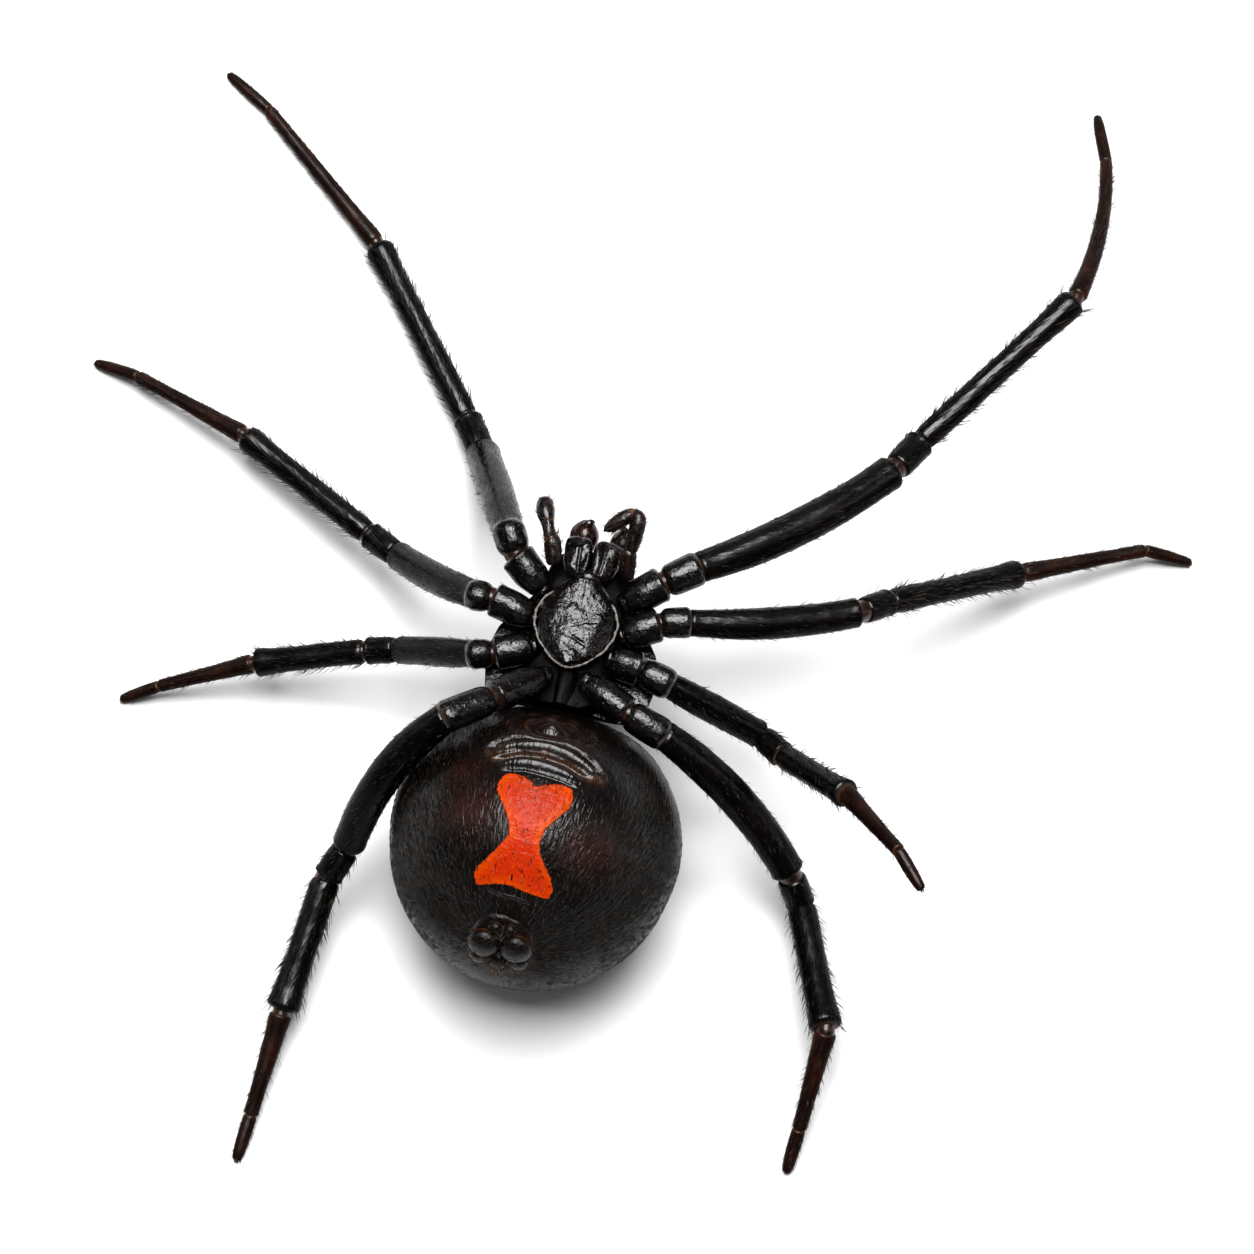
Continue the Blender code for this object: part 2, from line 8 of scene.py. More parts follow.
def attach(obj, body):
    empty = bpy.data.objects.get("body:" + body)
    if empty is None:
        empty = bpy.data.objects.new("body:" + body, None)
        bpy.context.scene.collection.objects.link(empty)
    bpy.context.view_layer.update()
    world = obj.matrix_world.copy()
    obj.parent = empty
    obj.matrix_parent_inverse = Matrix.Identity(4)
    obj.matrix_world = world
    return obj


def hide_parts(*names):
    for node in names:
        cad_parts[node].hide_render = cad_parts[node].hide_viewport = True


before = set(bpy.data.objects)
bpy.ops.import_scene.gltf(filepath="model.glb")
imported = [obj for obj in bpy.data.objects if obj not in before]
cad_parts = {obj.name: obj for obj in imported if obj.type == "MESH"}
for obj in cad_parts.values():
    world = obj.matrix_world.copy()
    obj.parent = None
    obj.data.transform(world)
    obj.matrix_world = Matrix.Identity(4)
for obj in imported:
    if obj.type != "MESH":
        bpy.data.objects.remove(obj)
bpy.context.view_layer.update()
mm = 0.001
up = Vector((0, 0, 1))
left = Vector((1, 0, 0))  # the animal's own left
print("frame loaded:", len(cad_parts), "solids")


# Materials

chitinIor = 1.55
# settings that many nodes share
smoothStep = {"interpolation_type": "SMOOTHSTEP"}
colourMix = {"data_type": "RGBA"}
times, timesPlus = {"operation": "MULTIPLY"}, {"operation": "MULTIPLY_ADD"}
minus, larger = {"operation": "SUBTRACT"}, {"operation": "MAXIMUM"}


def linear(hexColour):
    channels = [int(hexColour[i:i + 2], 16) / 255 for i in (1, 3, 5)]
    return tuple(c / 12.92 if c <= 0.04045 else ((c + 0.055) / 1.055) ** 2.4 for c in channels) + (1.0,)


def setInputs(tree, node, inputs):
    # a socket is linked, a hex string is a colour, and anything else is a plain value
    for key, value in inputs.items():
        if isinstance(value, bpy.types.NodeSocket):
            tree.links.new(value, node.inputs[key])
        else:
            node.inputs[key].default_value = linear(value) if isinstance(value, str) else value


def addNode(tree, kind, settings, inputs, output=0):
    node = tree.nodes.new("ShaderNode" + kind)
    for key, value in settings.items():
        setattr(node, key, value)
    setInputs(tree, node, inputs)
    return node.outputs[output]


def newMaterial(name, roughness):
    material = bpy.data.materials.new(name)
    material.use_nodes = True
    shader = material.node_tree.nodes["Principled BSDF"]
    shader.inputs["Roughness"].default_value = roughness
    return material, material.node_tree, shader


def glossIor(shine):
    # the IOR that gives this share of chitin's gloss. The exported model keeps an IOR, but not a gloss that varies
    root = math.sqrt(((chitinIor - 1) / (chitinIor + 1)) ** 2 * 2 * shine)
    return (1 + root) / (1 - root)


def noiseField(tree, attribute, scale, detail, roughness=0.55, distortion=0.0):
    # noise in the piece's own millimetres, stretched by a scale for each axis
    coords = addNode(tree, "Attribute", {"attribute_name": attribute}, {}, "Vector")
    moved = addNode(tree, "Mapping", {}, {"Vector": coords, "Scale": scale})
    return addNode(tree, "TexNoise", {}, {
        "Vector": moved, "Scale": 1.0, "Detail": detail, "Roughness": roughness, "Distortion": distortion})


shellLook = {
    "black": "#070505", "brown": "#150b07", "rim": "#8d7865",
    "pitsPerMm": 7.5, "pitSize": 0.26,  # the sockets of fine hairs, about 0.13 mm apart
    "rumple": 0.5, "reliefMm": 0.024,
}


def polishedShell(name, look=shellLook, roughness=0.2, shine=0.5):
    # tanned chitin plate, hardened smooth: near black with sharp reflections that pits and fine creases break up
    material, tree, shader = newMaterial(name, roughness)
    cloud = noiseField(tree, "cuticle", (1.4, 1.4, 1.4), 4)
    fine = noiseField(tree, "cuticle", (9, 9, 7), 3, 0.6)
    rumple = noiseField(tree, "cuticle", (3.2, 3.2, 3.2), 3, 0.6)
    coords = addNode(tree, "Attribute", {"attribute_name": "cuticle"}, {}, "Vector")
    cells = addNode(tree, "TexVoronoi", {}, {"Vector": coords, "Scale": look["pitsPerMm"], "Randomness": 1.0})
    pits = addNode(tree, "MapRange", smoothStep, {0: cells, 1: look["pitSize"] * 0.4, 2: look["pitSize"]})
    brownShare = addNode(tree, "MapRange", smoothStep, {0: cloud, 1: 0.45, 2: 0.8})
    colour = addNode(tree, "Mix", colourMix, {0: brownShare, 6: look["black"], 7: look["brown"]}, 2)
    rim = addNode(tree, "Attribute", {"attribute_name": "tone"}, {}, "Fac")
    colour = addNode(tree, "Mix", colourMix, {0: rim, 6: colour, 7: look["rim"]}, 2)
    satin = addNode(tree, "MapRange", smoothStep, {0: fine, 1: 0.3, 2: 0.75, 3: roughness * 0.7, 4: roughness * 1.6})
    height = addNode(tree, "Math", times, {0: pits, 1: 0.5})
    height = addNode(tree, "Math", timesPlus, {0: fine, 1: 0.9, 2: height})
    height = addNode(tree, "Math", timesPlus, {0: rumple, 1: look["rumple"], 2: height})
    relief = addNode(tree, "Bump", {}, {"Distance": look["reliefMm"] * mm, "Height": height})
    setInputs(tree, shader, {"Base Color": colour, "Roughness": satin, "Normal": relief, "IOR": chitinIor,
                             "Specular IOR Level": shine})
    return material


legLook = {
    "black": "#070606", "brown": "#100a08", "worn": "#221d1b", "rim": "#7d6550",
    "streaks": (11, 11, 2.4),  # waves a mm. Real hairs stand about 0.05 mm apart, and these are coarser to show
    "reliefMm": 0.016,
}


def hairedCuticle(name, look=legLook, roughness=0.25, shine=0.38):
    # chitin tube under short hairs that lie flat: satin black, its shine drawn out into fine streaks along the leg
    material, tree, shader = newMaterial(name, roughness)
    streaks = noiseField(tree, "lie", look["streaks"], 1, 0.6)
    cloud = noiseField(tree, "cuticle", (1.1, 1.1, 0.7), 3)
    grain = noiseField(tree, "cuticle", (20, 20, 20), 2)
    brownShare = addNode(tree, "MapRange", smoothStep, {0: cloud, 1: 0.45, 2: 0.75})
    colour = addNode(tree, "Mix", colourMix, {0: brownShare, 6: look["black"], 7: look["brown"]}, 2)
    wornShare = addNode(tree, "MapRange", smoothStep, {0: streaks, 1: 0.6, 2: 0.78, 4: 0.5})
    colour = addNode(tree, "Mix", colourMix, {0: wornShare, 6: colour, 7: look["worn"]}, 2)
    rim = addNode(tree, "Attribute", {"attribute_name": "tone"}, {}, "Fac")
    colour = addNode(tree, "Mix", colourMix, {0: rim, 6: colour, 7: look["rim"]}, 2)
    satin = addNode(tree, "MapRange", smoothStep, {0: cloud, 1: 0.3, 2: 0.7, 3: roughness * 0.8, 4: roughness * 1.25})
    # painted shade on the reflections: the gloss follows which way a face points, full where it faces up and low on
    # steep faces, so that these mirror less of the bright floor
    normal = addNode(tree, "NewGeometry", {}, {}, "Normal")
    facing = addNode(tree, "SeparateXYZ", {}, {0: normal}, 2)
    paintedShadeGloss = addNode(tree, "MapRange", smoothStep, {0: facing, 1: 0.65, 2: 0.97, 3: 0.07, 4: 0.5})
    height = addNode(tree, "Math", timesPlus, {0: grain, 1: 0.15, 2: streaks})
    relief = addNode(tree, "Bump", {}, {"Distance": look["reliefMm"] * mm, "Height": height})
    setInputs(tree, shader, {"Base Color": colour, "Roughness": satin, "Normal": relief, "IOR": glossIor(shine),
                             "Specular IOR Level": paintedShadeGloss})
    return material


jointLook = {"colour": "#3a1b10", "dark": "#150a07", "roughness": 0.28, "ringsPerMm": 22, "glowDepthMm": 0.1}


def thinSkin(name, look=jointLook):
    # soft, untanned cuticle of a joint: glossy red-brown skin in fine rings, a little light passing through it
    material, tree, shader = newMaterial(name, look["roughness"])
    rings = noiseField(tree, "cuticle", (2, 2, look["ringsPerMm"]), 2)
    share = addNode(tree, "MapRange", smoothStep, {0: rings, 1: 0.35, 2: 0.6})
    colour = addNode(tree, "Mix", colourMix, {0: share, 6: look["dark"], 7: look["colour"]}, 2)
    relief = addNode(tree, "Bump", {}, {"Distance": 0.02 * mm, "Height": rings})
    setInputs(tree, shader, {"Base Color": colour, "Normal": relief, "IOR": chitinIor,
                             "Subsurface Weight": 0.25, "Subsurface Scale": look["glowDepthMm"] * mm})
    return material


bristleLook = {"dark": "#0d0a09", "pale": "#6a5a49", "marked": "#c4501c", "roughness": 0.32}


def bristle(name, look=bristleLook):
    # solid chitin bristle: dark and glossy with a thin bright line along it, some worn pale, orange on the mark
    material, tree, shader = newMaterial(name, look["roughness"])
    colour = look["dark"]
    for attribute, over in (("tone", look["pale"]), ("mark", look["marked"])):
        share = addNode(tree, "Attribute", {"attribute_name": attribute}, {}, "Fac")
        colour = addNode(tree, "Mix", colourMix, {0: share, 6: colour, 7: over}, 2)
    speck = noiseField(tree, "cuticle", (7, 7, 7), 2)
    satin = addNode(tree, "MapRange", smoothStep, {
        0: speck, 1: 0.3, 2: 0.7, 3: look["roughness"] * 0.8, 4: look["roughness"] * 1.3})
    setInputs(tree, shader, {"Base Color": colour, "Roughness": satin, "IOR": chitinIor})
    return material


def eyeGlass(name):
    # clear cuticle lens over dark pigment: a black bead with one sharp highlight
    material, tree, shader = newMaterial(name, 0.05)
    depth = noiseField(tree, "cuticle", (6, 6, 6), 2)
    share = addNode(tree, "MapRange", smoothStep, {0: depth, 1: 0.4, 2: 0.8})
    colour = addNode(tree, "Mix", colourMix, {0: share, 6: "#050404", 7: "#1c0d08"}, 2)
    setInputs(tree, shader, {"Base Color": colour, "IOR": chitinIor, "Coat Weight": 0.6, "Coat Roughness": 0.03})
    return material


skinLook = {
    "black": "#0a0807", "brown": "#120a07", "glow": "#36130b", "red": "#b02e06", "orange": "#c04602",
    "sheenPink": "#983220", "dash": "#4a1006", "valley": "#4c3220", "fold": "#241c1a",
    "streaks": (10.5, 10.5, 3.2),  # waves a mm. The real ridges are about 0.02 mm apart, and these are coarser to show
    "bareBump": 0.8, "markPlain": 0.65,  # how far the folds and the mark lose the ridges, and the mark its gloss
    # the flank and top heights set where the painted shade on the abdomen's gloss starts and ends
    "flankHeight": 5.4, "topHeight": 6.9, "reliefMm": 0.028,
}


def bellySkin(name, look=skinLook, shine=0.3):
    # stretched cuticle with fine ridges like a fingerprint: satin black, red pigment shining through the hourglass
    material, tree, shader = newMaterial(name, 0.34)
    mark, glow, bare, warm, pinkSheenShare = (addNode(tree, "Attribute", {"attribute_name": word}, {}, "Fac")
                                     for word in ("mark", "glow", "bare", "warm", "tone"))
    ridges = noiseField(tree, "lie", look["streaks"], 1, 0.5, 0.8)
    cloud = noiseField(tree, "cuticle", (1.3, 1.3, 1.3), 4, 0.6)
    grain = noiseField(tree, "cuticle", (16, 16, 16), 2, 0.6)
    dashes = noiseField(tree, "cuticle", (13, 5, 9), 1, 0.4)
    puckers = noiseField(tree, "cuticle", (5, 8, 5), 2, 0.5)

    def tinted(under, colour, mask, low, high, least, most):
        # a colour laid over another where the mask is, broken up by the grain
        share = addNode(tree, "MapRange", smoothStep, {0: grain, 1: low, 2: high, 3: least, 4: most})
        share = addNode(tree, "Math", times, {0: mask, 1: share})
        return addNode(tree, "Mix", colourMix, {0: share, 6: under, 7: colour}, 2)

    brownShare = addNode(tree, "MapRange", smoothStep, {0: cloud, 1: 0.45, 2: 0.75})
    body = addNode(tree, "Mix", colourMix, {0: brownShare, 6: look["black"], 7: look["brown"]}, 2)
    body = tinted(body, look["glow"], glow, 0.3, 0.7, 0.35, 1.0)
    foldShare = addNode(tree, "Math", times, {0: bare, 1: 0.7})
    body = addNode(tree, "Mix", colourMix, {0: foldShare, 6: body, 7: look["fold"]}, 2)
    body = tinted(body, look["valley"], warm, 0.35, 0.6, 0.2, 1.0)
    redShare = addNode(tree, "Math", timesPlus, {0: cloud, 1: 0.8, 2: mark})
    redShare = addNode(tree, "MapRange", smoothStep, {0: redShare, 1: 0.35, 2: 0.75})
    red = addNode(tree, "Mix", colourMix, {0: redShare, 6: look["orange"], 7: look["red"]}, 2)
    # painted sheen: the mark turns pink towards its front, where the overhead light's sheen lies
    red = tinted(red, look["sheenPink"], pinkSheenShare, 0.35, 0.65, 0.35, 0.95)
    dashShare = addNode(tree, "MapRange", smoothStep, {0: dashes, 1: 0.28, 2: 0.35, 3: 0.75, 4: 0.0})
    red = addNode(tree, "Mix", colourMix, {0: dashShare, 6: red, 7: look["dash"]}, 2)
    edge = addNode(tree, "Math", timesPlus, {0: grain, 1: 0.09, 2: mark})
    inside = addNode(tree, "MapRange", smoothStep, {0: edge, 1: 0.033, 2: 0.067})
    colour = addNode(tree, "Mix", colourMix, {0: inside, 6: body, 7: red}, 2)
    # painted shade on the reflections: the gloss falls from the top of the abdomen down to its flanks, so that the
    # flanks mirror less of the bright floor
    place = addNode(tree, "Attribute", {"attribute_name": "cuticle"}, {}, "Vector")
    above = addNode(tree, "SeparateXYZ", {}, {0: place}, 2)
    paintedShadeGloss = addNode(tree, "MapRange", smoothStep, {
        0: above, 1: look["flankHeight"], 2: look["topHeight"], 3: 0.125, 4: 0.5})
    markPlain = addNode(tree, "Math", times, {0: inside, 1: look["markPlain"]})
    paintedShadeGloss = addNode(tree, "Math", times, {0: paintedShadeGloss, 1: addNode(tree, "Math", minus, {0: 1.0, 1: markPlain})})
    satin = addNode(tree, "MapRange", smoothStep, {0: cloud, 1: 0.3, 2: 0.7, 3: 0.25, 4: 0.34})
    satin = addNode(tree, "Math", timesPlus, {0: bare, 1: -0.08, 2: satin})
    # ridges outside the folds and the mark, puckers inside the mark, and grain all over
    plain = addNode(tree, "Math", times, {0: bare, 1: look["bareBump"]})
    plain = addNode(tree, "Math", larger, {0: plain, 1: markPlain})
    height = addNode(tree, "Math", times, {0: ridges, 1: addNode(tree, "Math", minus, {0: 1.0, 1: plain})})
    pucker = addNode(tree, "Math", times, {0: inside, 1: 1.3})
    height = addNode(tree, "Math", timesPlus, {0: puckers, 1: pucker, 2: height})
    height = addNode(tree, "Math", timesPlus, {0: grain, 1: 0.16, 2: height})
    relief = addNode(tree, "Bump", {}, {"Distance": look["reliefMm"] * mm, "Height": height})
    setInputs(tree, shader, {"Base Color": colour, "Roughness": satin, "Normal": relief, "IOR": glossIor(shine),
                             "Specular IOR Level": paintedShadeGloss})
    return material


def studioPaper(name):
    # matt white paper sweep: even and pale, with the faintest fibre, drawn about 1 mm wide so that it shows at all
    material, tree, shader = newMaterial(name, 0.9)
    place = addNode(tree, "TexCoord", {}, {}, "Object")
    fibre = addNode(tree, "TexNoise", {}, {"Scale": 900.0, "Detail": 3.0, "Vector": place})
    colour = addNode(tree, "Mix", colourMix, {0: fibre, 6: "#f6f6f6", 7: "#fafafa"}, 2)
    setInputs(tree, shader, {"Base Color": colour, "IOR": 1.45, "Specular IOR Level": 0.1})  # hardly any gloss
    return material


shellBlack = polishedShell("tanned_chitin_polished")
legBlack = hairedCuticle("chitin_with_short_hairs")
footLook = dict(legLook, black="#1a0d09", brown="#422010", rim="#6a4a33")
footBrown = hairedCuticle("thin_brown_chitin_with_hairs", footLook, 0.32, 0.26)
jointSkin = thinSkin("soft_joint_skin")
print("materials ready")


# Mesh helpers. A shape gathers points in millimetres, with what the materials read at each: places on the cuticle, the
# lie of the short hairs, and a share of the tone

def newShape():
    return {"points": [], "faces": [], "cuticle": [], "lie": [], "tone": []}


def addPoint(shape, point, cuticle, lie, tone=0.0):
    for key, value in (("points", point), ("cuticle", cuticle), ("lie", lie), ("tone", tone)):
        shape[key].append(value)


def makePiece(name, shape, materials, nodes=()):
    mesh = bpy.data.meshes.new(name)
    points = np.array([tuple(p) for p in shape["points"]]) * mm
    points[:, 2] = np.maximum(points[:, 2], 0.0)  # hairs and claws bend flat on the floor
    mesh.from_pydata(points.tolist(), [], shape["faces"])
    for key in ("cuticle", "lie", "tone", "mark", "glow", "bare", "warm"):
        if not len(shape.get(key, ())):
            continue
        isVector = key in ("cuticle", "lie")
        layer = mesh.attributes.new(key, "FLOAT_VECTOR" if isVector else "FLOAT", "POINT")
        layer.data.foreach_set("vector" if isVector else "value", np.array(shape[key], dtype=np.float32).ravel())
    if "uv" in shape:
        corners = np.zeros(len(mesh.loops), dtype=np.int32)
        mesh.loops.foreach_get("vertex_index", corners)
        layer = mesh.uv_layers.new(name="OFBake")
        layer.data.foreach_set("uv", shape["uv"].astype(np.float32)[corners].ravel())
    for material in materials:
        mesh.materials.append(material)
    if "slots" in shape:
        mesh.polygons.foreach_set("material_index", shape["slots"].astype(np.int32))
    mesh.polygons.foreach_set("use_smooth", [True] * len(mesh.polygons))
    mesh.update()
    piece = bpy.data.objects.new(name, mesh)
    bpy.context.scene.collection.objects.link(piece)
    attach(piece, "root")
    if nodes:
        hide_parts(*nodes)
    return piece


def between(keys, share):
    # value at a share of the way, in straight lines through (share, value) keys
    for (a, va), (b, vb) in zip(keys, keys[1:]):
        if share <= b:
            return va + (vb - va) * (share - a) / (b - a)
    return keys[-1][1]


def eased(keys, share):
    # value at a share of the way, through (share, value) keys, with smooth slopes
    if share <= keys[0][0]:
        return keys[0][1]
    for i, ((a, va), (b, vb)) in enumerate(zip(keys, keys[1:])):
        if share <= b:
            before = keys[max(i - 1, 0)]
            after = keys[min(i + 2, len(keys) - 1)]
            slopeA = (vb - before[1]) / max(b - before[0], 1e-9)
            slopeB = (after[1] - va) / max(after[0] - a, 1e-9)
            h = b - a
            t = (share - a) / h
            return ((2 * t**3 - 3 * t**2 + 1) * va + (t**3 - 2 * t**2 + t) * h * slopeA
                    + (3 * t**2 - 2 * t**3) * vb + (t**3 - t**2) * h * slopeB)
    return keys[-1][1]


def bump(x, width):
    return np.exp(-(x / width) ** 2)


def sideFrame(way, reference=up):
    # two directions square to the way, the first as near the reference as it can be
    level = reference - way * reference.dot(way)
    if level.length < 1e-4:
        level = left - way * way.x
    level.normalize()
    return level, level.cross(way)


def addTube(shape, rings, sides, relief=None, reference=up):
    # rings: (point, radius, tone), closed at both ends by a point. Gives each ring's centre, radius, ways and run
    first = len(shape["points"])
    last = len(rings) - 1
    run = 0.0
    course = []
    for i, (centre, radius, tone) in enumerate(rings):
        before = rings[max(i - 1, 0)][0]
        way = (rings[min(i + 1, last)][0] - before).normalized()
        top, side = sideFrame(way, reference)
        run += (centre - before).length
        course.append((centre, radius, way, top, side, run))
        for j in range(sides):
            angle = 2 * math.pi * j / sides
            turned = angle + run * 0.35  # the short hairs wind a little round the leg
            reach = radius + (relief(run, angle) if relief else 0.0)
            addPoint(shape, centre + (top * math.cos(angle) + side * math.sin(angle)) * reach,
                     (math.cos(angle) * radius, math.sin(angle) * radius, run),
                     (math.cos(turned) * radius, math.sin(turned) * radius, run), tone)
    for i in range(last):
        for j in range(sides):
            a, b = first + i * sides + j, first + i * sides + (j + 1) % sides
            shape["faces"].append((a, b, b + sides, a + sides))
    for ring in (0, last):
        end = (0, 0, course[ring][5])
        pole = len(shape["points"])
        addPoint(shape, rings[ring][0], end, end, rings[ring][2])
        for j in range(sides):
            a, b = first + ring * sides + j, first + ring * sides + (j + 1) % sides
            shape["faces"].append((a, b, pole) if ring else (b, a, pole))
    return course


def ringsAlong(start, end, form, radius, steps, bow, tones, endTurn):
    # rings from start to end, closer at the ends, with domed ends. The bow is how far the middle stands off
    bow = 4 * Vector(bow)
    length = (end - start).length
    rings = []
    for i in range(steps + 1):
        share = 0.5 - 0.5 * math.cos(math.pi * i / steps)
        share = 0.5 * share + 0.5 * i / steps
        reach = eased(form, share) * radius
        fromEnd = min(share, 1 - share) * length / (radius * endTurn)
        if fromEnd < 1:
            reach *= 0.45 + 0.55 * math.sqrt(max(1 - (1 - fromEnd) ** 2, 0))
        rings.append((start.lerp(end, share) + bow * share * (1 - share), reach, eased(tones, share)))
    return rings


def gridFaces(segments, rings, first=0):
    # rings of quads between two single points
    faces = []
    for i in range(rings):
        for j in range(segments):
            a = first + 1 + (i - 1) * segments + j
            b = first + 1 + (i - 1) * segments + (j + 1) % segments
            if i == 0:
                faces.append((first, b + segments, a + segments))
            elif i == rings - 1:
                faces.append((a, b, first + 1 + i * segments))
            else:
                faces.append((a, b, b + segments, a + segments))
    return faces


def addShell(shape, place, segments, rings):
    # a closed form along the y axis: place(x, z, y) moves each point of a ball
    first = len(shape["points"])
    for i in range(rings + 1):
        polar = math.pi * i / rings
        for j in range(1 if i in (0, rings) else segments):
            turn = 2 * math.pi * j / segments
            point = place(math.sin(polar) * math.cos(turn), math.sin(polar) * math.sin(turn), -math.cos(polar))
            addPoint(shape, point, tuple(point), tuple(point))
    shape["faces"] += gridFaces(segments, rings, first)


def roundWay(x, z, y):
    # how far along a ball's point is, and which way it lies from the axis
    size = math.hypot(x, z)
    return (y * 0.5 + 0.5, x / size, z / size) if size > 1e-6 else (y * 0.5 + 0.5, 0.0, 0.0)


def legRelief(seed, ridge):
    # low waves all round a tube, with finer ones on them
    def relief(run, angle):
        x, y = math.cos(angle), math.sin(angle)
        wide = noise.noise(Vector((x * 0.9 + seed, y * 0.9, run * 0.7)))
        fine = noise.noise(Vector((x * 3 + seed, y * 3, run * 3)))
        return wide * ridge * 1.6 + fine * ridge * 0.5
    return relief


# Legs. The same hips, lengths, headings and radii as the solids, in millimetres and degrees

legSizes = {
    # pair: lengths and radii of femur, knee, shin, foot and toe, and the radii of the two parts of the hip
    1: {"lengths": (6.3, 1.25, 5.9, 5.2, 1.65), "radii": (0.49, 0.4, 0.35, 0.22, 0.17),
        "coxa": 0.46, "neck": 0.38, "trochanter": 0.44},
    2: {"lengths": (4.75, 1.1, 4.65, 3.7, 1.42), "radii": (0.42, 0.37, 0.34, 0.22, 0.17),
        "coxa": 0.45, "neck": 0.35, "trochanter": 0.4},
    3: {"lengths": (3.5, 0.95, 3.2, 2.8, 1.2), "radii": (0.39, 0.36, 0.34, 0.22, 0.17),
        "coxa": 0.43, "neck": 0.34, "trochanter": 0.39},
    4: {"lengths": (5.5, 1.05, 3.75, 2.87, 1.25), "radii": (0.47, 0.39, 0.4, 0.25, 0.19),
        "coxa": 0.42, "neck": 0.35, "trochanter": 0.41, "coxaRim": 0.32},
}
legPoses = {
    "right_1": {
        "hip": ((-1.2, 6.53, 5.4), (-2.04, 7.22, 5.6), (-2.3, 7.69, 5.7)),
        "rise": (-49.3, -13.6, -2.5, -1.6), "heading": (114.3, 123.5, 128.0, 139.0, 147.5),
    },
    "right_2": {
        "hip": ((-1.3, 5.68, 5.38), (-2.4, 5.95, 5.42), (-2.79, 5.96, 5.4)),
        "rise": (-47.0, -14.0, -6.0, -10.0), "heading": (147.0, 151.0, 151.0, 159.0, 167.5),
        "femurBow": (0.05, -0.12, 0.0),
    },
    "right_3": {
        "hip": ((-1.14, 4.86, 5.36), (-2.04, 4.52, 5.26), (-2.48, 4.42, 5.2)),
        "rise": (-47.5, -19.0, -16.0, -17.5), "heading": (168.5, -172.0, -167.0, -159.5, -156.0),
    },
    "right_4": {
        "hip": ((-0.62, 4.02, 5.74), (-1.72, 2.98, 6.35), (-2.69, 2.17, 6.65)),
        "rise": (-48.5, -28.0, -13.0, -17.0), "heading": (-128.0, -115.5, -97.0, -95.5, -95.5),
        "femurBow": (-0.26, 0.1, 0.45),
    },
    "left_1": {
        "hip": ((1.13, 6.6, 5.42), (1.98, 7.28, 5.58), (2.74, 7.84, 5.6)),
        "rise": (-11.0, -17.5, 2.0, -20.0), "heading": (43.0, 63.0, 55.5, 89.0, 108.0),
        "femurBow": (0.16, -0.19, 0.0), "footBow": (0.24, 0.02, 0.0), "toeHeight": 2.0,
    },
    "left_2": {
        "hip": ((1.26, 5.72, 5.4), (2.1, 6.18, 5.42), (2.81, 6.37, 5.4)),
        "rise": (-13.0, -33.0, -29.5, -12.5), "heading": (20.0, 43.0, 35.0, 27.0, 4.0),
        "femurBow": (0.05, -0.15, 0.0),
    },
    "left_3": {
        "hip": ((1.12, 4.92, 5.36), (1.85, 4.88, 5.24), (2.52, 4.68, 5.2)),
        "rise": (-40.0, 19.0, 43.0, 34.5), "heading": (-4.5, -36.5, -35.0, -46.0, -49.5), "toeHeight": 7.1,
    },
    "left_4": {
        "hip": ((0.6, 4.12, 5.6), (1.77, 3.54, 5.56), (2.74, 3.23, 5.36)),
        "rise": (-35.0, -47.0, 12.5, -31.5), "heading": (-28.5, -52.5, -68.5, -94.5, -96.0),
        "femurBow": (0.2, 0.22, 0.0),
    },
}
legParts = {
    # form as (share of the way, share of the radius), insets and pale rims at root and end, rings, sides and relief
    "coxa": {
        "form": ((0, 0.42), (0.1, 0.6), (0.16, 0.6), (0.22, 0.76), (0.5, 1.0), (0.8, 1.04), (0.94, 1.05), (1, 0.98)),
        "insets": (-0.3, 0.0), "rims": (0, 0.25), "rings": 44, "sides": 40, "seed": 0, "relief": 0.018,
    },
    "trochanter": {
        "form": ((0, 0.84), (0.18, 0.98), (0.5, 1.04), (0.8, 1.06), (0.93, 1.04), (1, 0.98)),
        "insets": (-0.04, -0.04), "rims": (0, 0.4), "rings": 36, "sides": 40, "seed": 3, "relief": 0.022,
    },
    "femur": {
        "form": ((0, 0.8), (0.02, 0.86), (0.06, 0.86), (0.12, 0.9), (0.3, 0.98), (0.55, 1.0), (0.8, 0.97), (0.93, 0.95),
                 (0.98, 0.97), (1, 0.9)),
        "insets": (-0.05, 0.02), "rims": (0.5, 0.3), "rings": 72, "sides": 40, "seed": 7, "relief": 0.012,
    },
    "knee": {
        "form": ((0, 0.84), (0.1, 0.94), (0.4, 1.0), (0.8, 1.0), (0.92, 1.05), (1, 0.98)),
        "insets": (0.07, 0.0), "rims": (0.3, 0.5), "rings": 34, "sides": 36, "seed": 11, "relief": 0.012,
    },
    "shin": {
        "form": ((0, 0.88), (0.07, 0.98), (0.4, 0.96), (0.8, 1.0), (0.93, 1.12), (0.965, 1.12), (0.985, 1.0),
                 (1, 0.82)),
        "insets": (0.02, 0.02), "rims": (0.25, 0.2), "rings": 66, "sides": 36, "seed": 13, "relief": 0.012,
    },
    "foot": {
        "form": ((0, 1.0), (0.03, 1.2), (0.2, 1.08), (0.5, 0.94), (0.75, 0.84), (1, 0.8)),
        "insets": (0.03, 0.0), "rims": (0.5, 0.3), "rings": 56, "sides": 28, "seed": 17, "relief": 0.008,
    },
    "toe": {
        "form": ((0, 0.95), (0.3, 1.0), (0.6, 0.95), (0.85, 0.82), (1, 0.6)),
        "insets": (-0.02, 0.0), "rims": (0.4, 0), "rings": 30, "sides": 24, "seed": 19, "relief": 0.006,
    },
}
hipRims = {"coxa": 1.5, "trochanter": 0.8}  # the length that each rim's share is taken of
toeHeight = 0.1  # where a leg's pose gives none
rimLine = {"near": 0.035, "far": 0.065}  # where the pale line is full and where it ends, from the segment's edge
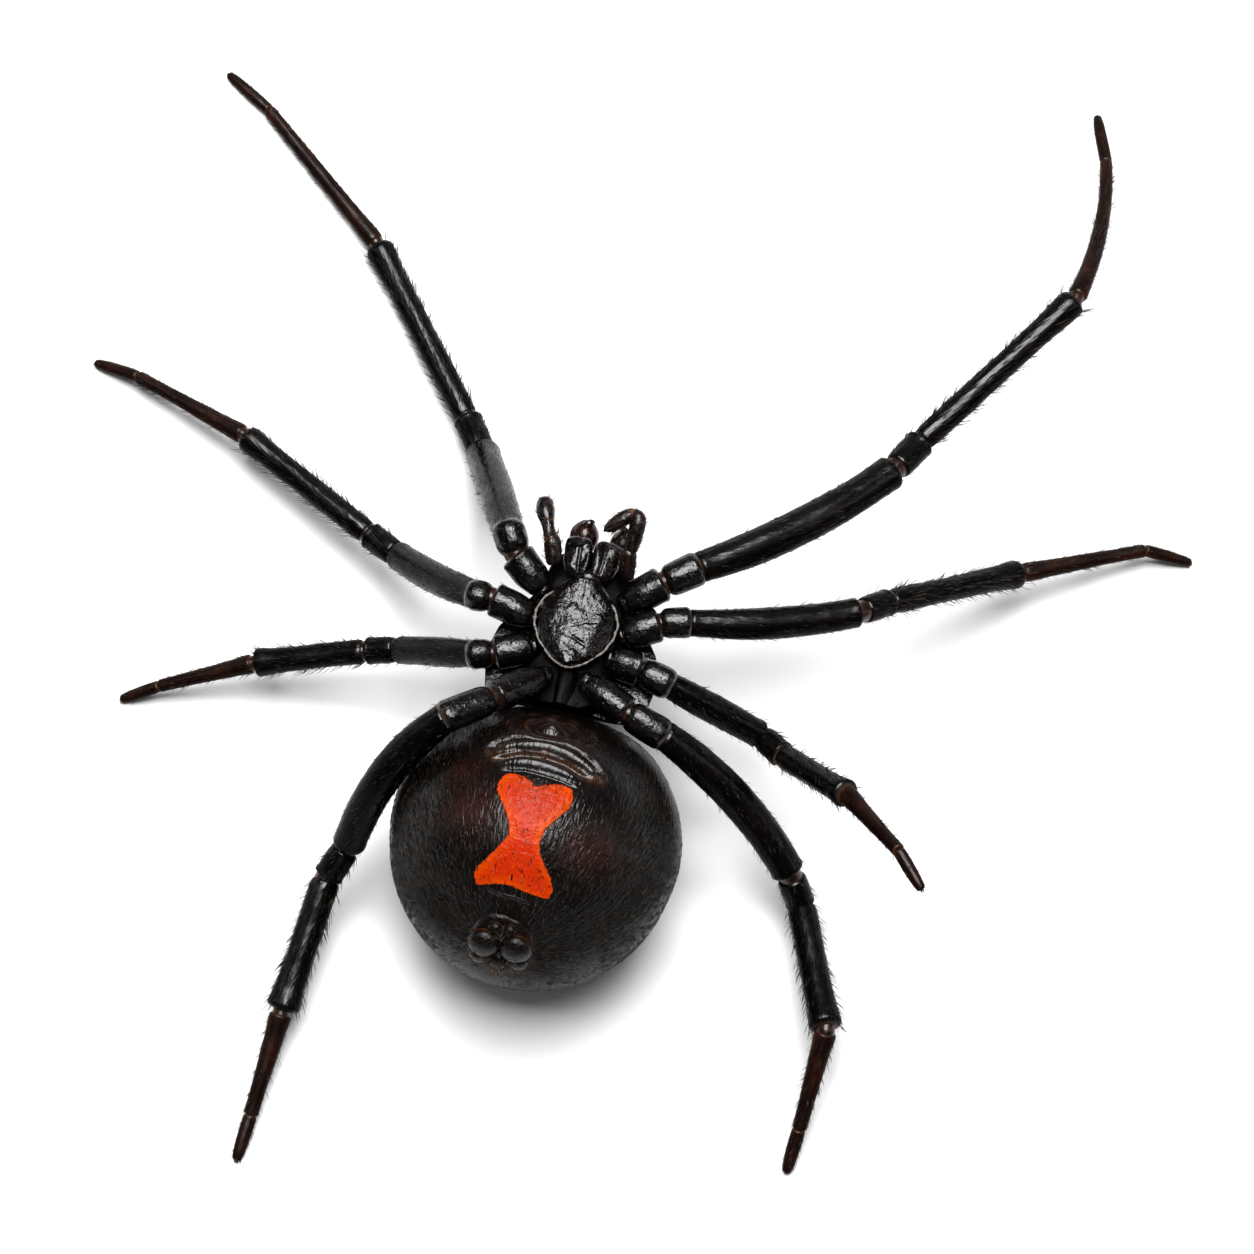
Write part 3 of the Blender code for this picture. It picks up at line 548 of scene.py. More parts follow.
claws = {
    "apart": 0.05, "sunk": 0.05, "reach": 0.12, "drop": 0.08, "bend": 1.5, "radius": 0.026, "tip": 0.005, "tone": 0.2,
}
jointRings = ((-1.4, 1.0), (-0.6, 1.0), (-0.25, 0.97), (0.25, 0.97), (0.6, 1.0), (1.4, 1.0))  # by reach and radius
tracks = {}  # where each tube runs, for the hairs that grow on it


def headingStep(length, rise, heading):
    rise, heading = math.radians(rise), math.radians(heading)
    level = length * math.cos(rise)
    return Vector((level * math.cos(heading), level * math.sin(heading), length * math.sin(rise)))


def legJoints(lengths, pose):
    joints = [Vector(pose["hip"][2])]
    for length, rise, heading in zip(lengths, pose["rise"], pose["heading"]):
        joints.append(joints[-1] + headingStep(length, rise, heading))
    rise = math.asin((pose.get("toeHeight", toeHeight) - joints[-1].z) / lengths[4])
    joints.append(joints[-1] + headingStep(lengths[4], math.degrees(rise), pose["heading"][4]))
    return joints


def rimTones(startTone, endTone, length):
    # a thin pale line just inside each end
    near, far = rimLine["near"] / length, rimLine["far"] / length
    return ((0, 0), (near * 0.5, startTone), (near, startTone), (far, 0), (1 - far, 0), (1 - near, endTone),
            (1 - near * 0.5, endTone), (1, 0))


def addClaws(shape, toe, way):
    top, across = sideFrame(way)
    for side in (-0.5, 0.5):
        claw = []
        for i in range(7):
            t = i / 6
            turn = t * claws["bend"]
            point = (toe - way * claws["sunk"] + across * side * claws["apart"] + way * claws["reach"] * math.sin(turn)
                     - top * claws["drop"] * (1 - math.cos(turn)))
            claw.append((point, claws["radius"] * (1 - t) + claws["tip"], claws["tone"]))
        addTube(shape, claw, 8)


def buildLeg(side, pair, seed):
    key = f"{side}_{pair}"
    pose, sizes = legPoses[key], legSizes[pair]
    joints = legJoints(sizes["lengths"], pose)
    root, knuckle, end = (Vector(p) for p in pose["hip"])
    femur, knee, shin, foot, toe = sizes["radii"]
    thighBow = Vector(pose.get("femurBow", (0, 0, 0)))

    def addPart(shape, name, start, end, radius, length, bow=(0, 0, 0), turn=0.0, paler=1.0):
        # with a turn, the end reaches over the root of the next part and is rounder
        part = legParts[name]
        way = (end - start).normalized()
        start, end = start + way * part["insets"][0], end - way * (part["insets"][1] - radius * 0.95 * turn)
        tones = rimTones(part["rims"][0], part["rims"][1] * (1 - turn) * paler, length)
        rings = ringsAlong(start, end, part["form"], radius, part["rings"], bow, tones, 0.3 + 0.7 * turn)
        tracks[f"{name}_{key}"] = addTube(shape, rings, part["sides"], legRelief(seed + part["seed"], part["relief"]))

    # hip: coxa barrel with a knob at its root and a raised rim, then the short bell of the trochanter
    hip = newShape()
    addPart(hip, "coxa", root, knuckle, sizes["coxa"], hipRims["coxa"], paler=sizes.get("coxaRim", 1.0))
    turn = math.sin((end - knuckle).normalized().angle((joints[1] - joints[0] + 4 * thighBow).normalized()))
    addPart(hip, "trochanter", knuckle, end, sizes["trochanter"], hipRims["trochanter"], turn=turn)
    makePiece(f"hip_{key}", hip, [shellBlack], [f"leg_{key}_hip"])

    thigh = newShape()
    addPart(thigh, "femur", joints[0], joints[1], femur, sizes["lengths"][0], thighBow)
    makePiece(f"femur_{key}", thigh, [legBlack], [f"leg_{key}_femur"])

    # knee and shin share one node, with a ring of soft skin between them
    shank = newShape()
    addPart(shank, "knee", joints[1], joints[2], knee, sizes["lengths"][1])
    addPart(shank, "shin", joints[2], joints[3], shin, sizes["lengths"][2])
    makePiece(f"tibia_{key}", shank, [legBlack], [f"leg_{key}_tibia"])

    # foot: metatarsus, tarsus and its claws
    sole = newShape()
    addPart(sole, "foot", joints[3], joints[4], foot, sizes["lengths"][3], pose.get("footBow", (0, 0, 0)))
    addPart(sole, "toe", joints[4], joints[5], toe, sizes["lengths"][4])
    addClaws(sole, joints[5], (joints[5] - joints[4]).normalized())
    makePiece(f"foot_{key}", sole, [footBrown], [f"leg_{key}_foot"])

    # soft skin in the joints: the ways in and out, radius and reach of each
    skin = newShape()
    thighWay, kneeWay, shinWay, footWay = (joints[i + 1] - joints[i] for i in range(4))
    for wayIn, wayOut, place, radius, reach in (
            (knuckle - root, end - knuckle, knuckle, sizes["neck"] * 0.86, 0.1),
            (end - knuckle, thighWay + 4 * thighBow, end, femur * 0.72, 0.12),
            (thighWay - 4 * thighBow, kneeWay, joints[1], knee * 0.8, 0.12),
            (kneeWay, shinWay, joints[2], shin * 0.84, 0.1),
            (shinWay, footWay, joints[3], foot, 0.12)):
        ways = (wayIn.normalized(), wayOut.normalized())
        addTube(skin, [(place + ways[share > 0] * reach * share, radius * size, 0) for share, size in jointRings], 24)
    makePiece(f"joint_skin_{key}", skin, [jointSkin])


for number, key in enumerate(legPoses):
    side, pair = key.split("_")
    buildLeg(side, int(pair), 10.0 * number)
print("legs built")


# Abdomen, one skin with the spinnerets. Places on the belly are (to the left, towards the tail) in millimetres
# from the point straight above the abdomen's centre

abdomen = {
    "radius": 3.78, "halfHeight": 3.88, "centreHeight": 3.69,
    "waistWay": (0.0, 0.914, 0.407), "waistNarrowing": 0.03, "waistFrom": 0.75,
    "shoulderWay": (0.84, 0.54, 0.0), "shoulderWidening": 0.03, "shoulderFrom": 0.7,
    "meridians": 340, "rings": 250, "middle": 4.0, "tailAngle": 66.0, "stalkAngle": -62.0, "unevenness": 0.03,
    "hourglass": (
        (-0.86, -0.77), (-0.97, -0.52), (-0.96, -0.28), (-0.8, 0.0), (-0.6, 0.3), (-0.44, 0.62), (-0.42, 0.86),
        (-0.72, 1.36), (-1.09, 1.88), (-1.12, 2.1), (-1.0, 2.34), (-0.5, 2.18), (-0.15, 2.12), (0.3, 2.24),
        (0.86, 2.34), (0.98, 2.1), (0.84, 1.72), (0.6, 1.4), (0.44, 1.1), (0.4, 0.82), (0.5, 0.48), (0.74, 0.14),
        (0.96, -0.18), (1.0, -0.46), (0.92, -0.72), (0.63, -0.78), (0.3, -0.68), (-0.02, -0.55), (-0.15, -0.68),
        (-0.4, -0.78), (-0.63, -0.82),
    ),
    # name: points, height, half width; low ones are grooves
    "folds": {
        "ridge": (((-1.1, -1.0), (-0.8, -1.12), (-0.4, -1.18), (0.06, -1.17), (0.55, -1.12), (1.12, -1.0)), 0.12, 0.17),
        "lip": (((-1.34, -1.48), (-0.78, -1.7), (-0.31, -1.76), (0.05, -1.8), (0.6, -1.72), (1.12, -1.54),
                 (1.5, -1.3)), 0.16, 0.165),
        "rimRight": (((-1.34, -1.34), (-1.5, -1.42), (-1.57, -1.6), (-1.5, -1.8), (-1.22, -2.04), (-0.81, -2.16),
                      (-0.39, -2.12)), 0.05, 0.045),
        "rimLeft": (((0.27, -2.22), (0.66, -2.11), (1.18, -2.0), (1.48, -1.76), (1.66, -1.46), (1.62, -1.3),
                     (1.52, -1.24)), 0.05, 0.045),
        "darkLine": (((-0.95, -0.86), (-0.4, -0.93), (0.1, -0.9), (0.6, -0.86), (1.0, -0.79)), -0.05, 0.04),
        "valley": (((-1.25, -1.24), (-0.6, -1.46), (0.0, -1.5), (0.6, -1.44), (1.3, -1.2)), -0.12, 0.07),
        "trench": (((-1.42, -1.66), (-0.9, -1.94), (-0.3, -1.99), (0.3, -2.02), (0.9, -1.88), (1.5, -1.54)),
                   -0.16, 0.07),
        "seam": (((0.0, -1.62), (0.0, -1.4)), 0.04, 0.035),
        "tailCrest": (((-0.75, 2.34), (-0.4, 2.42), (0.1, 2.44), (0.5, 2.52)), 0.04, 0.05),
    },
    # the knob in front of the furrow: its place, and the height and width of its top and of the groove round it
    "knob": {"ahead": 2.72, "stretch": 1.35, "top": (0.19, 0.22), "groove": (0.06, 0.08), "grooveAt": 0.36,
             "arcs": ((0.54, 0.06), (0.84, 0.045)), "arcWidth": 0.085},
    # where pigment glows through: place, reach and strength
    "glows": ((-1.5, 0.3, 0.7, 1), (1.65, 0.8, 0.65, 1), (0, -2.5, 0.9, 0.4), (-1.9, -0.8, 0.5, 0.8),
              (0, 4.4, 0.8, 0.6)),
    # dimples beside the hourglass's waist: middle, and reach of the hairs' curl
    "whorls": (((-0.98, 0.42), 0.8), ((1.0, 0.9), 0.75)),
    "midline": (((0.04, -0.42), (0.06, -0.1), (0.03, 0.3)), ((-0.14, 1.5), (-0.12, 2.02))),
}


def easedStep(value, start):
    share = np.clip((value - start) / (1.0 - start), 0.0, 1.0)
    return share * share * (3.0 - 2.0 * share)


def abdomenRadius(ways):
    waist = easedStep(ways @ np.array(abdomen["waistWay"]), abdomen["waistFrom"])
    mirrored = np.column_stack((np.abs(ways[:, 0]), ways[:, 1], ways[:, 2]))
    shoulder = easedStep(mirrored @ np.array(abdomen["shoulderWay"]), abdomen["shoulderFrom"])
    return abdomen["radius"] * (1 - abdomen["waistNarrowing"] * waist + abdomen["shoulderWidening"] * shoulder)


def abdomenPlace(ways, lift=0.0):
    reach = abdomenRadius(ways) + lift
    height = abdomen["centreHeight"] + ways[:, 2] * reach * abdomen["halfHeight"] / abdomen["radius"]
    return np.column_stack((ways[:, 0] * reach, ways[:, 1] * reach, np.maximum(height, 0.0)))


def bellyPlace(ways):
    # (to the left, towards the tail) in millimetres for each direction
    tail = np.arctan2(-ways[:, 1], ways[:, 2])
    return np.column_stack((ways[:, 0] * abdomen["radius"], tail * abdomen["radius"]))


def lineDistance(places, line):
    # distance to a chain of points, and how far along it the nearest point is, from 0 to 1
    line = np.array(line)
    best = np.full(len(places), 1e9)
    along = np.zeros(len(places))
    for i, (a, b) in enumerate(zip(line, line[1:])):
        t = np.clip(((places - a) @ (b - a)) / max((b - a) @ (b - a), 1e-12), 0, 1)
        gap = np.linalg.norm(places - (a + t[:, None] * (b - a)), axis=1)
        near = gap < best
        best[near] = gap[near]
        along[near] = ((i + t) / (len(line) - 1))[near]
    return best, along


def insideOutline(places, outline):
    inside = np.zeros(len(places), dtype=bool)
    x, y = places[:, 0], places[:, 1]
    for (ax, ay), (bx, by) in zip(outline, outline[1:] + outline[:1]):
        crossing = (ay > y) != (by > y)
        slope = (bx - ax) * (y - ay) / (by - ay if by != ay else 1e-12) + ax
        inside ^= crossing & (x < slope)
    return inside


def dome(x):
    return np.sqrt(np.clip(1 - x ** 2, 0, 1))


def foldForms(places, front):
    # height of the folds, and how bare and how warm in colour they are
    lift, bare, warm = np.zeros((3, len(places)))
    for name, (line, height, width) in abdomen["folds"].items():
        gap, along = lineDistance(places, line)
        ends = np.clip(np.minimum(along, 1 - along) * 9 + 0.2, 0, 1)
        if name in ("lip", "ridge"):
            # steep in front, with a long slope towards the tail that faces the light
            taper = 0.35 + 0.65 * np.sin(np.pi * along) ** 0.7
            xs, ys = np.array(line).T
            side = np.sign(places[:, 1] - np.interp(places[:, 0], xs, ys))
            t = np.clip(side * gap / (width * taper), -1, 1)
            slope = np.sin(np.pi / 2 * np.clip((1 - t) / 1.4, 0, 1))
            form = np.minimum(slope, dome(np.minimum(t + 0.4, 0) / 0.6)) * taper
        else:
            form = dome(gap / width) if height > 0 else bump(gap, width)
        lift += height * form * ends * front
        bare = np.maximum(bare, bump(gap, width * 1.3) * front)
        if name in ("valley", "seam"):
            warm = np.maximum(warm, 0.95 * bump(gap, 0.1) * front)
        if name == "lip":
            warm = np.maximum(warm, np.clip(np.abs(along - 0.5) * 4 - 1.3, 0, 0.8) * bump(gap, 0.17) * front)
    return lift, bare, warm


def bellyForm(ways):
    # height of the skin's own forms, and the masks that colour them
    places = bellyPlace(ways)
    x, y = places.T
    front = ways[:, 2] > -0.2
    lift, bare, warm = foldForms(places, front)
    knob = abdomen["knob"]
    away = np.hypot(x / knob["stretch"], y + knob["ahead"])
    lift += knob["top"][0] * bump(away, knob["top"][1]) * front
    lift -= knob["groove"][0] * bump(away - knob["grooveAt"], knob["groove"][1]) * front
    for radius, height in knob["arcs"]:
        wave = 0.05 * np.sin(x * 7 + radius * 30) + 0.025 * np.sin(x * 19 + radius * 50)
        arc = dome((away - radius - wave) / knob["arcWidth"]) * (y < -2.3)
        arc *= 0.7 + 0.3 * np.sin(x * 11 + radius * 40)
        lift += height * arc * front
        warm = np.maximum(warm, 0.6 * arc**5 * front)
    bare = np.maximum(bare, 0.8 * bump(away, 0.7) * front)
    outline = abdomen["hourglass"]
    gap, _ = lineDistance(places, outline + outline[:1])
    mark = np.where(front, np.where(insideOutline(places, outline), gap, -gap), -9)
    for line in abdomen["midline"]:
        gap, _ = lineDistance(places, line)
        mark -= 0.5 * bump(gap, 0.024) * (np.sin(y * 24) > -0.1)
    glow = np.zeros(len(ways))
    for glowX, glowY, size, most in abdomen["glows"]:
        glow = np.maximum(glow, most * bump(np.hypot(x - glowX, y - glowY), size) * front)
    # painted sheen: a share of pink on the front of the mark, where the overhead light's sheen lies
    pinkSheenShare = np.clip((0.3 - y) / 0.8, 0, 1) * np.clip(1 - np.abs(x + 0.05) / 0.9, 0, 1)
    return lift, np.clip(mark, -3, 3), glow, bare, warm, pinkSheenShare


def bellyWay(tailAngle):
    tail = math.radians(tailAngle)
    return Vector((0, -math.sin(tail), math.cos(tail)))


def hairLie(ways):
    # coordinates that run from the stalk to the spinnerets, as the short hairs do
    pole = np.array(bellyWay(abdomen["tailAngle"]))
    across = np.cross(pole, left)
    polar = np.arccos(np.clip(ways @ pole, -1, 1))
    turn = np.arctan2(ways @ across, ways @ np.array(left))
    return np.column_stack((np.cos(turn), np.sin(turn), polar)) * abdomen["radius"]


def buildAbdomen():
    middle = bellyWay(abdomen["middle"])
    tail = middle.cross(left)
    ways = []
    rings, meridians = abdomen["rings"], abdomen["meridians"]
    for i in range(rings + 1):
        share = i / rings
        polar = math.pi * (0.62 * share + 0.38 * share**3)  # rings lie closer round the hourglass
        for j in range(1 if i in (0, rings) else meridians):
            turn = 2 * math.pi * j / meridians
            ways.append(middle * math.cos(polar) + (left * math.cos(turn) + tail * math.sin(turn)) * math.sin(polar))
    ways = np.array(ways)
    faces = [(f[0], *f[:0:-1]) for f in gridFaces(meridians, rings)]
    lift, mark, glow, bare, warm, pinkSheenShare = bellyForm(ways)
    wide = np.array([noise.noise(Vector(w) * 2.2) for w in ways]) * abdomen["unevenness"]
    points = abdomenPlace(ways, lift + wide)
    bareFaces = np.array([bare[f[0]] for f in faces])
    return {"points": points, "faces": faces, "cuticle": points, "lie": hairLie(ways), "tone": pinkSheenShare, "mark": mark,
            "glow": glow, "bare": bare, "warm": warm, "slots": bareFaces > 0.62}


belly = bellySkin("stretched_black_cuticle")
foldSkin = bellySkin("bare_polished_folds", dict(skinLook, fold="#191413", bareBump=0.45), 0.36)
abdomenPiece = makePiece("abdomen_skin", buildAbdomen(), [belly, foldSkin], ["abdomen"])
print("abdomen built:", len(abdomenPiece.data.polygons), "faces")

spinnerets = {
    "angle": 58.0, "shift": -0.12, "baseRadius": 0.84, "baseHeight": 0.03, "baseDepth": 0.25,
    # to the side, towards the tail, radius, height, outward lean
    "pairs": ((0.41, -0.12, 0.42, 0.55, 0.03), (0.2, -0.56, 0.19, 0.3, 0.0), (0.5, 0.36, 0.25, 0.42, 0.05)),
    "analKnob": (0.0, 0.46, 0.26, 0.4, 0.0),
    "form": ((0, 0.8), (0.3, 0.95), (0.55, 1.0), (0.75, 0.9), (0.9, 0.64), (0.97, 0.38), (1, 0.12)),
}
lobeLook = dict(shellLook, black="#0d0908", brown="#21110a", rim="#8a4a20", pitSize=0.14)
lobeBrown = polishedShell("brown_lobe_chitin", lobeLook, 0.34, 0.3)


def buildSpinnerets():
    shape = newShape()
    out, tail = bellyWay(spinnerets["angle"]), bellyWay(spinnerets["angle"] + 90)
    foot = Vector(abdomenPlace(np.array([out]))[0]) + left * spinnerets["shift"]
    deep = spinnerets["baseDepth"]
    collar = []
    for i in range(19):
        t = i / 18
        height = (spinnerets["baseHeight"] + deep) * math.sin(t * math.pi * 0.62) - deep
        collar.append((foot + out * height, spinnerets["baseRadius"] * (1.04 - 0.5 * t**2), 0.0))
    addTube(shape, collar, 56, legRelief(3.0, 0.05), reference=left)
    lobes = [(way * a, t, r, h, way * lean) for a, t, r, h, lean in spinnerets["pairs"] for way in (-1, 1)]
    for across, astern, radius, height, lean in lobes + [spinnerets["analKnob"]]:
        start = foot + left * across + tail * astern
        top = start + out * height + left * lean
        rings = []
        for i in range(25):
            t = i / 24
            rings.append((start.lerp(top, t), radius * eased(spinnerets["form"], t), 0.25 * bump(t - 0.42, 0.06)))
        course = addTube(shape, rings, 32, legRelief(across * 7 + astern, 0.012), reference=left)
        tracks[f"lobe_{across:.2f}_{astern:.2f}"] = course
    return shape


makePiece("spinneret_lobes", buildSpinnerets(), [lobeBrown], ["spinnerets"])
print("spinnerets built")


# Front body

pedicel = {"rear": (0, 3.5, 5.2), "front": (0, 4.4, 5.36), "radius": 0.27, "rings": 20}
pedicelShape = newShape()
rear, ahead = Vector(pedicel["rear"]), Vector(pedicel["front"])
stalk = [(rear.lerp(ahead, i / pedicel["rings"]), pedicel["radius"], 0) for i in range(pedicel["rings"] + 1)]
addTube(pedicelShape, stalk, 28, legRelief(5.0, 0.03))
wallSkin = hairedCuticle("soft_dark_body_wall", dict(legLook, black="#040303", brown="#0a0605"), 0.6, 0.12)
makePiece("pedicel_stalk", pedicelShape, [wallSkin], ["pedicel"])

carapace = {
    "rear": 3.6, "front": 7.8, "edgeHeight": 4.66, "rise": 0.08, "depth": 0.95,
    "cornerReach": 0.3, "cornerWide": 1.9,  # the rear edge is hollowed round the stalk
    "fovea": 0.12, "rays": 0.02,
    "outline": ((0, 1.3), (0.03, 1.9), (0.08, 2.13), (0.2, 2.26), (0.32, 2.27), (0.45, 2.12), (0.58, 1.74), (0.7, 1.4),
                (0.82, 1.22), (0.93, 1.12), (1, 0.9)),
    "profile": ((0, 0.45), (0.15, 0.78), (0.35, 0.82), (0.5, 0.86), (0.75, 1.0), (0.9, 0.92), (1, 0.7)),
    "eyeRadius": 0.11,
    "eyes": ((0.17, 7.7, 4.3), (0.17, 7.5, 3.97), (0.5, 7.64, 4.36), (0.48, 7.46, 4.06)),
}


def carapacePlace(x, z, y):
    share, ax, az = roundWay(x, z, y)
    depth, groove = carapace["rise"], 0.0
    if az < 0:
        depth = carapace["depth"] * between(carapace["profile"], share)
        fovea = bump(share - 0.3, 0.12) * bump(ax, 0.35)
        rays = abs(math.sin(math.atan2(az, ax) * 4 + share * 6)) ** 6 * bump(share - 0.3, 0.25)
        groove = carapace["fovea"] * fovea + carapace["rays"] * rays
    across = ax * between(carapace["outline"], share)
    corner = carapace["cornerReach"] * (across / carapace["cornerWide"]) ** 2 * (1 - share) ** 8
    return Vector((across * (1 - 0.01 * groove),
                   carapace["rear"] + share * (carapace["front"] - carapace["rear"]) - corner,
                   carapace["edgeHeight"] + az * depth + groove))


carapaceShape = newShape()
addShell(carapaceShape, carapacePlace, 96, 80)
makePiece("carapace_shell", carapaceShape, [shellBlack], ["carapace"])

eyeShape = newShape()
for across, y, z in carapace["eyes"]:
    for way in (-1, 1):
        centre = Vector((way * across, y, z))
        addShell(eyeShape, lambda x, a, b: centre + Vector((x, b, a)) * carapace["eyeRadius"], 20, 14)
makePiece("eye_beads", eyeShape, [eyeGlass("dark_eye_lens")])

sternum = {
    "middle": -0.06, "rear": 4.42, "front": 6.74, "edgeHeight": 5.72, "dome": 0.4, "depth": 0.468,
    "outline": ((0, 0.2), (0.05, 0.5), (0.14, 0.72), (0.3, 0.92), (0.5, 1.02), (0.66, 1.0), (0.8, 0.88), (0.92, 0.68),
                (1, 0.5)),
    "swell": 0.045, "grain": 0.012, "creaseDepth": 0.03, "creaseWidth": 0.03,
    "creases": (((-0.12, 5.42), (0.16, 5.58), (0.5, 5.66)), ((-0.06, 6.7), (-0.04, 6.2), (-0.1, 5.8)),
                ((-0.1, 5.15), (0.28, 5.0))),
}
border = {
    "outline": ((0, 0.5), (0.05, 0.66), (0.14, 0.8), (0.3, 0.98), (0.5, 1.07), (0.66, 1.06), (0.8, 0.94), (0.92, 0.74),
                (1, 0.6)),
    "rear": 4.36, "length": 2.4, "height": 5.86, "dip": 0.03, "radius": 0.032, "uneven": 0.008, "rings": 121,
    "openFrom": 0.955,
}


def sternumPlace(x, z, y):
    share, ax, az = roundWay(x, z, y)
    wide = math.copysign(abs(ax) ** 0.9, ax) * eased(sternum["outline"], share)
    place = Vector((sternum["middle"] + wide, sternum["rear"] + share * (sternum["front"] - sternum["rear"]),
                    sternum["edgeHeight"] + az * sternum["depth" if az < 0 else "dome"]))
    if az > 0:
        place.z += sternum["swell"] * noise.noise(Vector((place.x * 1.9, place.y * 1.9, 1.0)))
        place.z += sternum["grain"] * noise.noise(Vector((place.x * 7, place.y * 7, 5.0)))
        for line in sternum["creases"]:
            gap = lineDistance(np.array([place[:2]]), line)[0][0]
            place.z -= sternum["creaseDepth"] * bump(gap, sternum["creaseWidth"])
    return place


sternumShape = newShape()
addShell(sternumShape, sternumPlace, 120, 120)
sternumBlack = polishedShell("creased_chitin_plate", dict(shellLook, rumple=0.9), 0.16, 0.45)
makePiece("sternum_plate", sternumShape, [sternumBlack], ["sternum"])

edgeRings = []
for i in range(border["rings"]):
    turn = math.pi * (0.5 + 2 * (i + 0.5) / border["rings"])
    share = 0.5 + 0.5 * math.sin(turn)
    if share > border["openFrom"]:
        continue
    wide = math.copysign(abs(math.cos(turn)) ** 0.8, math.cos(turn)) * eased(border["outline"], share)
    dip = border["dip"] * math.sin(share * 19)
    centre = Vector((sternum["middle"] + wide + math.copysign(dip, wide), border["rear"] + share * border["length"],
                     border["height"] + dip))
    edgeRings.append((centre, border["radius"] + border["uneven"] * math.sin(i * 1.7), 0.0))
edgeShape = newShape()
addTube(edgeShape, edgeRings, 10)
borderSkin = thinSkin("pale_border_skin", dict(jointLook, colour="#8f8a84", dark="#4f4a45", roughness=0.45))
makePiece("sternum_border", edgeShape, [borderSkin])

# soft body wall between sternum and carapace, from which the hips grow
bodyWall = {
    "middle": -0.03, "rear": 3.47, "length": 4.3, "height": 4.96, "halfHeight": 0.42, "fold": 0.05,
    "outline": ((0, 0.7), (0.05, 1.1), (0.25, 1.15), (0.5, 1.25), (0.75, 1.2), (0.9, 1.05), (1, 0.7)),
}


def wallPlace(x, z, y):
    share, ax, az = roundWay(x, z, y)
    fold = bodyWall["fold"] * noise.noise(Vector((ax * 3, share * 9, az * 3)))
    wide = math.copysign(abs(ax) ** 0.6, ax) * (between(bodyWall["outline"], share) + fold)
    return Vector((bodyWall["middle"] + wide, bodyWall["rear"] + share * bodyWall["length"],
                   bodyWall["height"] + az * (bodyWall["halfHeight"] + fold)))


wallShape = newShape()
addShell(wallShape, wallPlace, 64, 48)
makePiece("body_wall", wallShape, [wallSkin])

mouth = {
    "middle": -0.03, "plateY": 7.38, "plateZ": 5.7, "plateHalf": (0.37, 0.6, 0.36), "widening": 0.2,
    "furrowDepth": 0.04, "furrowAt": 0.85, "furrowWidth": 0.1, "unevenness": 0.06,
    "lipCentre": (0.0, 6.88, 5.74), "lipHalf": (0.4, 0.28, 0.34),
}


def mouthPlace(x, z, y, way):
    # one of the two plates, squared off towards the midline, where they meet, and wider in front
    halfX, halfY, halfZ = mouth["plateHalf"]
    half = halfX * (1 + mouth["widening"] * y)
    across = half * (1.0 + math.copysign(abs(x) ** 0.75, x))
    inner = x if x > 0 else abs(x) ** 2.5
    high = math.sqrt(max(1 - inner * inner - y * y, 0))
    height = math.copysign(high ** 0.6, z) * halfZ * (1 - 0.2 * x)
    height += mouth["unevenness"] * noise.noise(Vector((x * 1.4 + way, y * 2.2, 3 * way)))
    if z > 0:
        height -= mouth["furrowDepth"] * bump(across / half - mouth["furrowAt"], mouth["furrowWidth"])
    return Vector((mouth["middle"] + way * across, mouth["plateY"] + math.copysign(abs(y) ** 0.7, y) * halfY,
                   mouth["plateZ"] + height))


def lipPlace(x, z, y):
    halfX, halfY, halfZ = mouth["lipHalf"]
    return Vector(mouth["lipCentre"]) + Vector((x * halfX, y * halfY, z * halfZ))


mouthShape = newShape()
for way in (-1, 1):
    firstFace = len(mouthShape["faces"])
    addShell(mouthShape, lambda x, z, y: mouthPlace(x, z, y, way), 128, 64)
    if way < 0:  # the mirrored plate's faces are turned to face outwards
        mouthShape["faces"][firstFace:] = [f[::-1] for f in mouthShape["faces"][firstFace:]]
addShell(mouthShape, lipPlace, 40, 32)
makePiece("mouth_plates", mouthShape, [sternumBlack], ["mouthparts"])

chelicerae = {
    # side: base and tip, the way the fang turns, seed of the relief
    "right": ((-0.44, 7.9, 4.98), (-0.36, 8.5, 5.44), 1, 9.0), "left": ((0.64, 7.88, 4.98), (0.7, 8.48, 5.44), -1, 4.0),
}
jaw = {
    "radius": 0.39, "length": 1.14, "rings": 36, "paleRing": 0.16,
    "form": ((0, 0.6), (0.1, 0.86), (0.4, 1.0), (0.68, 0.94), (0.88, 0.74), (1.0, 0.52), (1.1, 0.28), (1.14, 0.05)),
    "fangWay": (0.2, 0.14, 0.04), "fangSunk": (-0.02, -0.1), "fangArch": 0.1, "fangRadius": 0.15, "fangTip": 0.012,
}
fangLook = dict(shellLook, black="#1a0b07", brown="#43150a", rim="#a88a70")
fangBrown = polishedShell("red_brown_chitin", fangLook, 0.16)
for side, (base, tip, inward, seed) in chelicerae.items():
    base, tip = Vector(base), Vector(tip)
    shape = newShape()
    rings = []
    for i in range(jaw["rings"] + 1):
        share = jaw["length"] * i / jaw["rings"]
        tone = 0.4 * bump(share - jaw["paleRing"], 0.03)
        rings.append((base.lerp(tip, share), eased(jaw["form"], share) * jaw["radius"], tone))
    addTube(shape, rings, 36, legRelief(seed, 0.012))
    across, ahead, lift = jaw["fangWay"]
    fang = []
    for i in range(15):
        t = i / 14
        step = Vector((inward * (across * t + jaw["fangSunk"][0]),
                       ahead * math.sin(t * math.pi / 2) + jaw["fangSunk"][1],
                       lift + jaw["fangArch"] * math.sin(t * math.pi)))
        fang.append((tip + step, jaw["fangRadius"] * (1 - t) ** 0.8 + jaw["fangTip"], 0))
    addTube(shape, fang, 16)
    makePiece(f"chelicera_{side}_shell", shape, [fangBrown], [f"chelicera_{side}"])

